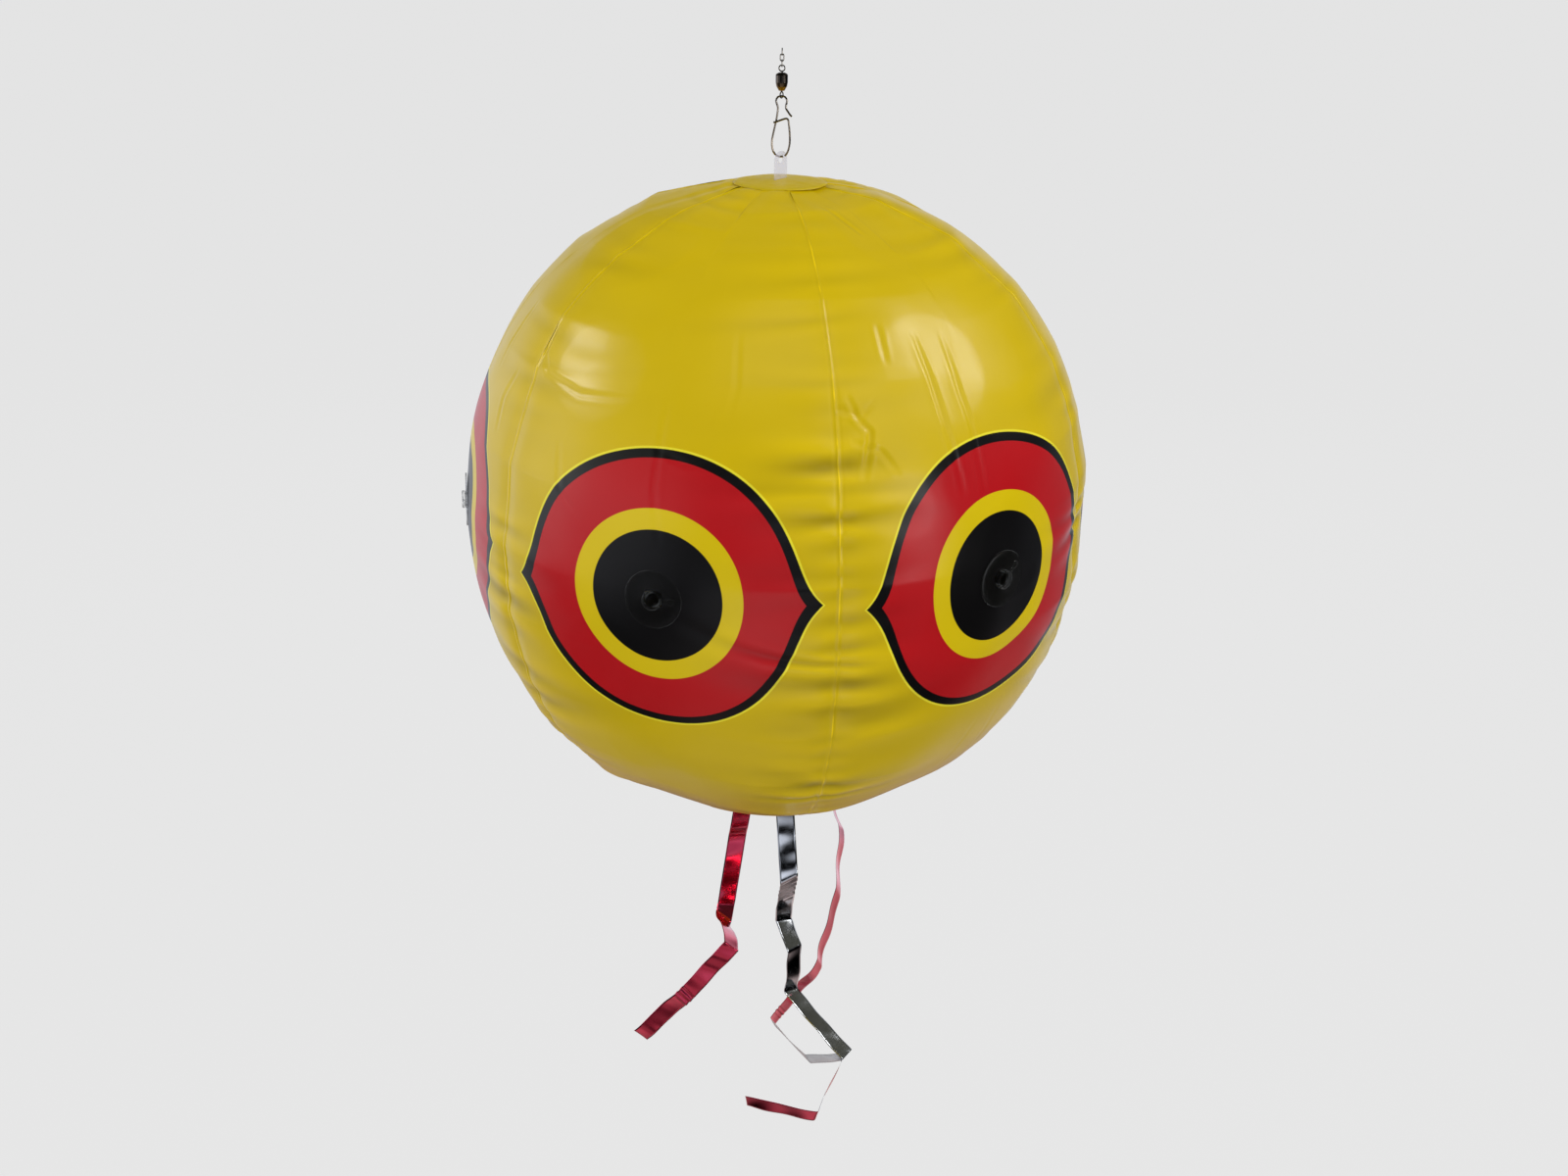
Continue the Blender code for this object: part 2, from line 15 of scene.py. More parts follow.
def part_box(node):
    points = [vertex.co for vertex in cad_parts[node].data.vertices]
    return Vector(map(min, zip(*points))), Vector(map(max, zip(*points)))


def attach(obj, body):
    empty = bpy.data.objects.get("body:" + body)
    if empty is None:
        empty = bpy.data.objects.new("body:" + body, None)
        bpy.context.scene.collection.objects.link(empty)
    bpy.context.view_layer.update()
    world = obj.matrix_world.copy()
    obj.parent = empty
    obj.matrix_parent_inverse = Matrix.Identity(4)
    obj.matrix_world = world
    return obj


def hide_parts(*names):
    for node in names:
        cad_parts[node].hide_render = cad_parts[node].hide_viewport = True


mm = 0.001
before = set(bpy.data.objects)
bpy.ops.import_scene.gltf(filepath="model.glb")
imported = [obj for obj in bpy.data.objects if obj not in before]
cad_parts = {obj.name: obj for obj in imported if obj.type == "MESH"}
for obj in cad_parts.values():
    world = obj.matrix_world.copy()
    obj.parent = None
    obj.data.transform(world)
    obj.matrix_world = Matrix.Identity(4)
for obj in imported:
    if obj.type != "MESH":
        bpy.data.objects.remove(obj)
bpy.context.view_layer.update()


# Small helpers
def linear(hexCode):  # an sRGB hex colour as the linear values that sockets take
    parts = [int(hexCode[i:i + 2], 16) / 255 for i in (1, 3, 5)]
    return (*(c / 12.92 if c <= 0.04045 else ((c + 0.055) / 1.055) ** 2.4 for c in parts), 1)


# A node with its settings, its fixed values and its links. A colour Mix takes its factor at 0 and its colours
# at 6 and 7, and gives the mix at 2.
def addNode(tree, kind, values=None, **settings):
    node = tree.nodes.new("ShaderNode" + kind)
    for name, setting in settings.items():
        setattr(node, name, setting)
    for key, value in (values or {}).items():
        if isinstance(value, bpy.types.Node):
            value = value.outputs[0]
        if isinstance(value, bpy.types.NodeSocket):
            tree.links.new(value, node.inputs[key])
        else:
            node.inputs[key].default_value = value
    return node


smoothly = {"interpolation_type": "SMOOTHSTEP"}  # for a Map Range that eases in and out


def startMaterial(name):  # an empty material with its Principled shader and output
    material = bpy.data.materials.new(name)
    material.use_nodes = True
    tree = material.node_tree
    tree.nodes.clear()
    shader = addNode(tree, "BsdfPrincipled")
    addNode(tree, "OutputMaterial", {"Surface": shader})
    return material, tree, shader


def finishPiece(bm, name, body, nodes, materials):  # a bmesh becomes a piece on its body
    mesh = bpy.data.meshes.new(name)
    bm.to_mesh(mesh)
    bm.free()
    return finishMesh(mesh, name, body, nodes, materials)


def finishMesh(mesh, name, body, nodes, materials):
    for material in materials:
        mesh.materials.append(material)
    mesh.shade_smooth()
    piece = bpy.data.objects.new(name, mesh)
    bpy.context.scene.collection.objects.link(piece)
    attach(piece, body)
    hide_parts(*nodes)
    return piece


def points(mesh):  # a mesh's vertices as an array
    flat = np.empty(len(mesh.vertices) * 3)
    mesh.vertices.foreach_get("co", flat)
    return flat.reshape(-1, 3)


def spunProfile(profile, steps):  # (radius, height) points turned about Z, merged where they meet
    bm = bmesh.new()
    corners = [bm.verts.new((radius, 0, height)) for radius, height in profile]
    pairs = list(zip(corners, corners[1:]))
    if min(radius for radius, height in profile) > 0:
        pairs.append((corners[-1], corners[0]))
    edges = [bm.edges.new(pair) for pair in pairs]
    bmesh.ops.spin(bm, geom=corners + edges, cent=(0, 0, 0), axis=(0, 0, 1), angle=2 * pi, steps=steps,
                   use_merge=True)
    bmesh.ops.remove_doubles(bm, verts=bm.verts, dist=0.002 * mm)
    bmesh.ops.recalc_face_normals(bm, faces=bm.faces)
    return bm


# Ball values, the same as the CAD model's
ball = {
    "radius": 200 * mm,
    "heightShare": 1.029,
    "squareness": 2.105,
    "seamSwell": 0.016,
    "valleyDepth": 1.2 * mm,
    "valleyWidth": 7 * mm,
    # the valley's mean share, how much it gains or loses, the latitude of the change, and how soft that is
    "valleyTaper": (0.65, 0.35, radians(26), radians(8)),
    "turn": radians(-19.6),
    "panelTip": 9 * mm,
    "capRadius": 29 * mm,
    # the welds aren't quite evenly spaced on the real one
    "welds": [radians(angle) for angle in (-53.6, 10.4, 71.5, 130.2, 188.9, 247.7, 306.4)],
}
ballMiddle = (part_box("top_cap")[1].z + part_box("bottom_cap")[0].z) / 2
ballCentre = np.array((0, 0, ballMiddle))
panelAngle = pi / 3


# Camera, where the photograph was taken from
view = {
    "distance": 1.0994,
    "elevation": radians(20.38),
    "roll": radians(0.8),
    "lens": 38.34,
    "shiftX": 0.0051,
    "shiftY": -0.0602,
}
camera = bpy.data.objects.new("camera", bpy.data.cameras.new("camera"))
bpy.context.scene.collection.objects.link(camera)
away = Vector((0, -cos(view["elevation"]), sin(view["elevation"])))
camera.matrix_world = (
    Matrix.Translation(Vector(ballCentre) + away * view["distance"])
    @ away.to_track_quat("Z", "Y").to_matrix().to_4x4()
    @ Matrix.Rotation(view["roll"], 4, "Z")
)
camera.data.sensor_width = 36
camera.data.lens = view["lens"]
camera.data.shift_x = view["shiftX"]
camera.data.shift_y = view["shiftY"]
camera.data.clip_start = 0.01
bpy.context.scene.camera = camera
bpy.context.scene.view_settings.view_transform = "Standard"


# Studio: a pale floor and sweep, a dim room in front, and soft lamps all round
studio = {
    "floorHeight": -1.25,
    "floorSize": 60,
    "floorPaint": "#B4B4B4",
    "floorGlow": 0.93,
    "backdrop": "#EAEAEA",
    "ambient": 0.3,
    "floorTint": "#C8B2AE",
    "sweepTint": "#F0F4FF",
    "ceilingTint": "#F0F0D8",
    "stripTilt": 0.35,
    "stripScale": 3.2,
    "lamps": {
        # azimuth from the camera's side, elevation, distance, width, height, watts, seen in reflections
        "left_window": (-84, 31, 1.7, 0.46, 0.30, 6.2, True),
        "right_window": (86, 40, 1.7, 0.32, 0.70, 8.6, True),
        "right_strip": (47, 4, 1.9, 0.30, 0.80, 4.4, True),
        "left_glow": (-82, 3, 1.7, 0.80, 0.70, 2.8, True),
        "top_light": (-6, 62, 2.6, 1.5, 1.5, 14, False),
        "left_fill": (-50, 0, 3.0, 1.8, 1.8, 18, False),
        "right_fill": (45, 35, 3.0, 1.8, 1.8, 25, False),
        "low_fill": (0, -35, 1.5, 1.0, 1.0, 5.8, False),
        "back_fill": (180, 20, 3.0, 2.2, 2.2, 34, False),
    },
}


def buildStudio():
    scene = bpy.context.scene
    world = bpy.data.worlds.new("studio_room")
    scene.world = world
    world.use_nodes = True
    tree = world.node_tree
    tree.nodes.clear()
    path = addNode(tree, "LightPath")
    seen = addNode(tree, "Math", {0: path.outputs["Is Camera Ray"], 1: path.outputs["Is Transmission Ray"]},
                   operation="MAXIMUM")
    ways = addNode(tree, "SeparateXYZ", {0: addNode(tree, "TexCoord").outputs["Generated"]}).outputs
    # what mirrors show: a pale sweep behind, warmer where it meets the floor, dim above and at the far right
    behind = addNode(tree, "MapRange", {"Value": ways["Y"], "From Min": -0.05, "From Max": 0.45,
                                        "To Max": 0.85}, **smoothly)
    height = addNode(tree, "MapRange", {"Value": ways["Z"], "From Min": -0.66, "From Max": -0.44}, **smoothly)
    dimmer = addNode(tree, "MapRange", {"Value": ways["Z"], "From Min": 0.28, "From Max": -0.05,
                                        "To Min": 0.03}, **smoothly)
    farRight = addNode(tree, "MapRange", {"Value": ways["X"], "From Min": 0.7, "From Max": 0.35,
                                          "To Min": 0.2}, **smoothly)
    aside = addNode(tree, "Math", {0: ways["X"]}, operation="ABSOLUTE")
    # the lit floor shows at both sides of the object's own shadow
    apart = addNode(tree, "MapRange", {"Value": aside, "From Min": 0.04, "From Max": 0.2, "To Min": 0.25})
    floorShare = addNode(tree, "Math", {0: apart, 1: height}, operation="MAXIMUM")
    upright = addNode(tree, "Math", {0: floorShare, 1: dimmer}, operation="MULTIPLY")
    sideways = addNode(tree, "Math", {0: behind, 1: farRight}, operation="MULTIPLY")
    sweep = addNode(tree, "Math", {0: upright, 1: sideways}, operation="MULTIPLY")
    # a pale wall at the left that fades out below the ball, and a dim ceiling
    leftWall = addNode(tree, "MapRange", {"Value": ways["X"], "From Min": -0.35, "From Max": -0.9,
                                          "To Max": 0.7}, **smoothly)
    leftLow = addNode(tree, "MapRange", {"Value": ways["Z"], "From Min": -0.5, "From Max": -0.1}, **smoothly)
    leftHigh = addNode(tree, "MapRange", {"Value": ways["Z"], "From Min": 0.6, "From Max": 0.3})
    leftPart = addNode(tree, "Math", {0: leftWall, 1: leftLow}, operation="MULTIPLY")
    left = addNode(tree, "Math", {0: leftPart, 1: leftHigh, 2: sweep}, operation="MULTIPLY_ADD")
    # and a lit patch of the floor behind at the right
    rightWall = addNode(tree, "MapRange", {"Value": ways["X"], "From Min": 0.15, "From Max": 0.4,
                                           "To Max": 0.5}, **smoothly)
    rightHigh = addNode(tree, "MapRange", {"Value": ways["Z"], "From Min": -0.42, "From Max": -0.58},
                        **smoothly)
    rightPart = addNode(tree, "Math", {0: rightWall, 1: rightHigh}, operation="MULTIPLY")
    left = addNode(tree, "Math", {0: rightPart, 1: behind, 2: left}, operation="MULTIPLY_ADD")
    ceiling = addNode(tree, "MapRange", {"Value": ways["Z"], "From Min": 0.0, "From Max": 0.3,
                                         "To Max": 0.065}, **smoothly)
    plain = addNode(tree, "Math", {0: left, 1: ceiling}, operation="ADD")
    # strip lamps and screens in front of the object, low down, for the foil to mirror
    slope = addNode(tree, "Math", {0: ways["X"], 1: studio["stripTilt"], 2: ways["Z"]},
                    operation="MULTIPLY_ADD")
    strips = addNode(tree, "TexNoise", {"W": slope, "Scale": studio["stripScale"], "Detail": 1},
                     noise_dimensions="1D")
    lit = addNode(tree, "MapRange", {"Value": strips, "From Min": 0.38, "From Max": 0.60, "To Max": 0.9},
                  **smoothly)
    narrow = addNode(tree, "MapRange", {"Value": aside, "From Min": 0.5, "From Max": 0.3}, **smoothly)
    before = addNode(tree, "MapRange", {"Value": ways["Y"], "From Min": 0.1, "From Max": -0.1})
    under = addNode(tree, "MapRange", {"Value": ways["Z"], "From Min": 0.22, "From Max": 0.12})
    inFront = addNode(tree, "Math", {0: narrow, 1: before}, operation="MULTIPLY")
    where = addNode(tree, "Math", {0: inFront, 1: under}, operation="MULTIPLY")
    mirrored = addNode(tree, "Math", {0: lit, 1: where, 2: plain}, operation="MULTIPLY_ADD")
    tint = addNode(tree, "Mix", {0: height, 6: linear(studio["floorTint"]), 7: linear(studio["sweepTint"])},
                   data_type="RGBA").outputs[2]
    overhead = addNode(tree, "MapRange", {"Value": ways["Z"], "From Min": 0.15, "From Max": 0.3})
    tint = addNode(tree, "Mix", {0: overhead, 6: tint, 7: linear(studio["ceilingTint"])},
                   data_type="RGBA").outputs[2]
    room = addNode(tree, "Background", {"Color": tint, "Strength": mirrored})
    soft = addNode(tree, "Background", {"Color": (1, 1, 1, 1), "Strength": studio["ambient"]})
    shown = addNode(tree, "Background", {"Color": linear(studio["backdrop"]), "Strength": 1})
    unseen = addNode(tree, "MixShader", {0: path.outputs["Is Glossy Ray"], 1: soft, 2: room})
    mixed = addNode(tree, "MixShader", {0: seen, 1: unseen, 2: shown})
    addNode(tree, "OutputWorld", {"Surface": mixed})

    bm = bmesh.new()
    bmesh.ops.create_grid(bm, x_segments=1, y_segments=1, size=studio["floorSize"] / 2)
    bmesh.ops.translate(bm, verts=bm.verts, vec=(0, 0, studio["floorHeight"]))
    mesh = bpy.data.meshes.new("floor")
    bm.to_mesh(mesh)
    bm.free()
    floor = bpy.data.objects.new("floor", mesh)
    scene.collection.objects.link(floor)
    floor.visible_glossy = False  # mirrors take the floor from the room above
    # mostly its own level tone to the camera, and some of its shading for the soft shadow
    material = bpy.data.materials.new("matt_painted_floor")
    material.use_nodes = True
    tree = material.node_tree
    tree.nodes.clear()
    path = addNode(tree, "LightPath")
    paint = addNode(tree, "BsdfDiffuse", {"Color": linear(studio["floorPaint"])})
    glow = addNode(tree, "Emission", {"Color": linear(studio["backdrop"]), "Strength": 1})
    seen = addNode(tree, "Math", {0: path.outputs["Is Camera Ray"], 1: path.outputs["Is Transmission Ray"]},
                   operation="MAXIMUM")
    share = addNode(tree, "Math", {0: seen, 1: studio["floorGlow"]}, operation="MULTIPLY")
    mixed = addNode(tree, "MixShader", {0: share, 1: paint, 2: glow})
    addNode(tree, "OutputMaterial", {"Surface": mixed})
    mesh.materials.append(material)

    for name, (azimuth, elevation, distance, width, height, watts, mirrored) in studio["lamps"].items():
        lamp = bpy.data.lights.new(name, "AREA")
        lamp.shape = "RECTANGLE"
        lamp.size, lamp.size_y, lamp.energy = width, height, watts
        holder = bpy.data.objects.new(name, lamp)
        scene.collection.objects.link(holder)
        holder.visible_glossy = mirrored
        holder.visible_camera = False  # the camera sees its light and not the lamp
        a, e = radians(azimuth), radians(elevation)
        direction = Vector((sin(a) * cos(e), -cos(a) * cos(e), sin(e)))
        holder.matrix_world = (
            Matrix.Translation(Vector(ballCentre) + direction * distance)
            @ direction.to_track_quat("Z", "Y").to_matrix().to_4x4()
        )


buildStudio()
print("studio ready")


# Ball surface
def weldShare(longitude):  # 1 on a weld and 0 halfway between two
    first = ball["welds"][0]
    phase = np.interp((longitude - first) % (2 * pi), np.array(ball["welds"]) - first, np.arange(7) * pi / 3)
    return (1 + np.cos(6 * phase)) / 2


def skinPoint(latitude, longitude):  # the smooth ball about its own centre, for arrays of angles
    c, s = np.cos(latitude), np.sin(latitude)
    power = ball["squareness"]
    seam = weldShare(longitude)
    radius = ball["radius"] * (abs(c) ** power + abs(s) ** power) ** (-1 / power)
    radius = radius * (1 + ball["seamSwell"] * seam * np.sin(2 * latitude) ** 2)
    across = np.arcsin(np.sqrt(1 - np.minimum(seam, 1))) / 3 * radius * c
    mean, gain, changeAt, softness = ball["valleyTaper"]
    tight = mean + gain * np.tanh((changeAt - latitude) / softness)  # shallower towards the top
    radius = radius - ball["valleyDepth"] * tight * np.exp(-((across / ball["valleyWidth"]) ** 2)) * c
    rise = radius * s * ball["heightShare"]
    return np.stack((radius * c * np.sin(longitude), -radius * c * np.cos(longitude), rise), -1)


def skin(latitude, longitude, lift=0.0):  # a place on the ball, raised along the surface's normal
    latitude, longitude = np.broadcast_arrays(np.asarray(latitude, float), np.asarray(longitude, float))
    step = 0.001
    east = skinPoint(latitude, longitude + step) - skinPoint(latitude, longitude - step)
    north = skinPoint(latitude + step, longitude) - skinPoint(latitude - step, longitude)
    normal = np.cross(east, north)
    normal /= np.maximum(np.linalg.norm(normal, axis=-1, keepdims=True), 1e-12)
    lift = np.asarray(lift, float)
    return ballCentre + skinPoint(latitude, longitude) + lift[..., None] * normal


# lengths along a panel's middle, from the equator
meridianCount = 721
meridianLatitudes = np.linspace(-pi / 2, pi / 2, meridianCount)
meridian = skinPoint(meridianLatitudes, np.full(meridianCount, ball["turn"]))
meridianLengths = np.concatenate(([0], np.cumsum(np.linalg.norm(np.diff(meridian, axis=0), axis=1))))
meridianLengths -= meridianLengths[meridianCount // 2]


# Relief of the film: puckers along the welds, flats, package creases, a weld bead and soft dents
relief = {
    "puckerPitch": (9 * mm, 21 * mm),
    "puckerWidth": (2.2 * mm, 5.6 * mm),
    "puckerDepth": (0.4 * mm, 2.8 * mm),
    "puckerReach": (20 * mm, 62 * mm),
    "puckerEnds": 0.285,
    "puckerSkew": 1.7,  # a power that makes most puckers shallow and a few deep
    # lowest and highest height between which a weld is drawn tight, and the share of the depth there
    "frontTight": (-0.20, 0.11, 0.7),
    "sideTight": (-0.20, 0.02, 0.5),
    "looseShare": 0.14,
    # heights on the front weld between which no pucker is shallower than the next value
    "frontHeights": (-0.08, 0.10),
    "frontPucker": 0.8 * mm,
    "sideShare": (0.45, 1),
    "leanSpread": 0.10,
    "bendSpread": 0.8,
    "bendBelow": 1.8,
    "bendAbove": 0.2,
    "widening": 2.2,
    "nearFade": 8 * mm,
    "lipPlace": 2.1,
    "holdReach": 4 * mm,
    "holdShare": 0.4,
    "cornerPitch": (30 * mm, 62 * mm),
    "cornerReach": 50 * mm,
    "cornerEnds": 0.31,
    "cornerShare": 0.9,
    # heights in mm of one weld's corners, given one by one
    "handCorners": (-310, -262, -215, -165, -118, -77, -31, 35, 71, 114, 158, 210, 260, 310),
    "flatShare": (0.20, 0.45),
    "flatSize": (5, 9),
    "flatCount": 34,
    "weldWidth": 0.8 * mm,
    "weldHeight": 0.35 * mm,
    "weldGroove": 0.12 * mm,
    "creaseWidth": 1.5 * mm,
    "dentDepth": 0.30 * mm,
    "dentLength": (45 * mm, 105 * mm),
    "dentWaves": 22,
    "ruckDepth": 0.5 * mm,
    "ruckReach": 26 * mm,
    "ruckPitch": 5.2 * mm,
    "ruckDrift": 11 * mm,
}
# package creases on each panel: depth in mm, then points in mm across from its valve and up from the equator
creases = {
    0: [
        (0.35, (-2, 118), (-3, 69), (3, 37)),
        (0.40, (28, 162), (35, 128), (33, 104)),
        (0.45, (-92, 158), (-98, 128), (-91, 118), (-60, 112), (-20, 116)),
        (0.30, (-70, 84), (-66, 58), (-50, 44)),
        (0.25, (-8, 92), (14, 84), (30, 86)),
    ],
    1: [
        (0.75, (-26, 158), (-28, 98), (-25, 60)),
        (0.65, (-7, 155), (-11, 118), (-10, 58)),
        (0.45, (-14, 266), (-10, 232)),
        (0.50, (-46, 164), (-52, 140)),
        (0.90, (-82, 124), (-80, 110), (-75, 103), (-82, 85), (-86, 77)),
        (0.70, (-94, 118), (-78, 112), (-66, 120)),
        (0.70, (-88, 98), (-72, 92), (-64, 78)),
        (0.25, (8, -96), (4, -150)),
        (0.25, (26, -92), (30, -140)),
    ],
    2: [
        (0.50, (18, 170), (14, 100), (17, 44)),
        (0.35, (-30, -60), (-34, -128)),
        (0.40, (70, 128), (74, 96), (67, 78)),
    ],
    3: [
        (0.55, (-22, 176), (-20, 110), (-24, 52)),
        (0.40, (30, 140), (33, 88)),
        (0.30, (-8, -84), (-4, -150)),
    ],
    4: [
        (0.45, (6, 160), (2, 96), (5, 50)),
        (0.45, (-72, 118), (-78, 96), (-70, 74)),
        (0.35, (36, -70), (32, -140)),
    ],
    5: [
        (0.50, (-12, 164), (-9, 112), (-13, 60)),
        (0.40, (24, 152), (27, 104)),
        (0.35, (60, 112), (55, 92), (62, 72)),
    ],
}
# flats of the film, where it hasn't stretched round: longitude, latitude and half width in degrees, and the
# share of the way to a plane that it lies
flats = [
    (-37, 36, 8.5, 0.50), (-44, 40, 5, 0.40), (33, 38, 9.5, 0.42), (24, 33, 6, 0.35), (21, 17, 5.5, 0.50),
    (-72, -33, 11, 0.70), (68, -34, 10, 0.60), (-52, 60, 11, 0.60), (-18, 68, 10, 0.50), (50, 64, 11, 0.60),
    (-68, 12, 8, 0.35), (-30, -52, 10, 0.50), (30, -56, 10, 0.50), (150, 60, 11, 0.50), (-130, 58, 11, 0.50),
]


def fillFlats():  # smaller flats scattered over the rest
    draw = Random(12)
    for flat in range(relief["flatCount"]):
        height = draw.uniform(-0.9, 0.9)
        flats.append((draw.uniform(-180, 180), asin(height) * 180 / pi, draw.uniform(*relief["flatSize"]),
                      draw.uniform(*relief["flatShare"])))


fillFlats()


def weldPuckers(weld):  # the gathers across one weld, the same list for the panels on both sides of it
    draw = Random(40 + weld)
    front = weld == 0
    lowest, highest, tightShare = relief["frontTight"] if front else relief["sideTight"]
    found = []
    height = -relief["puckerEnds"]
    while height < relief["puckerEnds"]:
        width = draw.uniform(*relief["puckerWidth"])
        depth = relief["puckerDepth"][0] + draw.uniform(0, 1) ** relief["puckerSkew"] * (
            relief["puckerDepth"][1] - relief["puckerDepth"][0])
        depth *= tightShare if lowest < height < highest else relief["looseShare"]
        if front and relief["frontHeights"][0] < height < relief["frontHeights"][1]:
            depth = max(depth, relief["frontPucker"])
        reaches = [draw.uniform(*relief["puckerReach"]) for side in (0, 1)]
        shares = [draw.uniform(*relief["sideShare"]) for side in (0, 1)]
        lean = draw.uniform(-relief["leanSpread"], relief["leanSpread"])
        bend = draw.uniform(-relief["bendSpread"], relief["bendSpread"])
        bend += relief["bendBelow"] if height < 0 else relief["bendAbove"]
        found.append((height, width, depth, reaches, shares, lean, bend))
        height += draw.uniform(*relief["puckerPitch"])
    return found


def weldCorners(weld):  # the heights between which the film runs straight beside a weld
    if weld == 1:
        return [h * mm for h in relief["handCorners"]]
    draw = Random(60 + weld)
    found = [-relief["cornerEnds"]]
    while found[-1] < relief["cornerEnds"]:
        found.append(found[-1] + draw.uniform(*relief["cornerPitch"]))
    return found


allPuckers = [weldPuckers(weld) for weld in range(6)]
allCorners = [weldCorners(weld) for weld in range(6)]


def softWaves(place, seed, lengths, count):  # a smooth random height field, about 1 high
    draw = Random(seed)
    total = np.zeros(len(place))
    for wave in range(count):
        direction = Vector((draw.gauss(0, 1), draw.gauss(0, 1), draw.gauss(0, 1))).normalized()
        length = draw.uniform(*lengths)
        total += np.sin(place @ np.array(direction) * (2 * pi / length) + draw.uniform(0, 2 * pi))
    return total / np.sqrt(count / 2)


def lineDistance(x, y, line):  # distance to a line of points, and a share that fades to 0 at both of its ends
    best = np.full(len(x), 1e3)
    along = np.zeros(len(x))
    total = sum(hypot(b[0] - a[0], b[1] - a[1]) for a, b in zip(line, line[1:]))
    run = 0
    for a, b in zip(line, line[1:]):
        dx, dy = b[0] - a[0], b[1] - a[1]
        length = hypot(dx, dy)
        t = np.clip(((x - a[0]) * dx + (y - a[1]) * dy) / length**2, 0, 1)
        distance = np.hypot(x - a[0] - t * dx, y - a[1] - t * dy)
        nearer = distance < best
        best = np.where(nearer, distance, best)
        along = np.where(nearer, (run + t * length) / total, along)
        run += length
    return best, np.sin(pi * np.clip(along, 0, 1)) ** 0.6


def valley(off, lip, lipWidth):  # a groove 1 deep with a raised lip at each side, off in its half widths
    return np.exp(-(off**2)) - lip * np.exp(-(((abs(off) - relief["lipPlace"]) / lipWidth) ** 2))


def filmRelief(number, x, y, gap, side, place, poleGap):  # the film's height, and the gathers' part of it
    gathers = np.zeros(len(x))
    height = relief["dentDepth"] * softWaves(place, 7, relief["dentLength"], relief["dentWaves"])
    toward = place / np.linalg.norm(place, axis=1)[:, None]
    for longitude, latitude, size, share in flats:
        a, b, half = radians(longitude), radians(latitude), radians(size)
        middle = np.array((sin(a) * cos(b), -cos(a) * cos(b), sin(b)))
        angle = np.arccos(np.clip(toward @ middle, -1, 1))
        height -= share * ball["radius"] * half**2 / 2 * np.clip(1 - (angle / half) ** 2, 0, 1) ** 1.25
    # the weld holds the film flatter
    calm = 1 - np.exp(-((gap / relief["holdReach"]) ** 2)) * relief["holdShare"]
    for edge in (1, -1):
        here = side == edge
        weld = number if edge == 1 else (number - 1) % 6
        part = np.zeros(int(here.sum()))
        d, h = gap[here], y[here]
        for middle, width, depth, reaches, shares, lean, bend in allPuckers[weld]:
            reach = reaches[0] if edge == 1 else reaches[1]
            share = shares[0] if edge == 1 else shares[1]
            spread = width * (1 + d / (relief["widening"] * reach))
            off = (h - middle - lean * d * edge - bend * d**2) / spread
            fade = np.exp(-((d / reach) ** 2)) * (share + (1 - share) * np.exp(-d / relief["nearFade"]))
            part -= depth * fade * valley(off, 0.42, 1.1)
        gathers[here] = part * calm[here]
        corners = np.array(allCorners[weld])
        above = np.clip(np.searchsorted(corners, h), 1, len(corners) - 1)
        sag = np.clip((h - corners[above - 1]) * (corners[above] - h), 0, None) / (2 * ball["radius"])
        height[here] -= relief["cornerShare"] * sag * np.exp(-((d / relief["cornerReach"]) ** 2))
    for depth, *line in creases[number]:
        distance, fade = lineDistance(x / mm, y / mm, line)
        off = distance * mm / relief["creaseWidth"]
        height -= depth * mm * fade * valley(off, 0.45, 1.0)
    # short rucks that run out from under the end caps
    waves = np.cos(x / relief["ruckPitch"] + 2 * np.sin(number * 2.4 + x / relief["ruckDrift"]))
    fade = np.exp(-np.maximum(poleGap, 0) / relief["ruckReach"])
    height -= relief["ruckDepth"] * waves * fade * (poleGap > 0)
    # the weld: a thin bead in a narrow groove
    weld = gap / relief["weldWidth"]
    groove = relief["weldGroove"] * np.exp(-(((weld - 2.4) / 1.1) ** 2))
    height += relief["weldHeight"] * np.exp(-(weld**2)) - groove
    return height + gathers, gathers


# Materials of the ball
vinylIor = 1.53


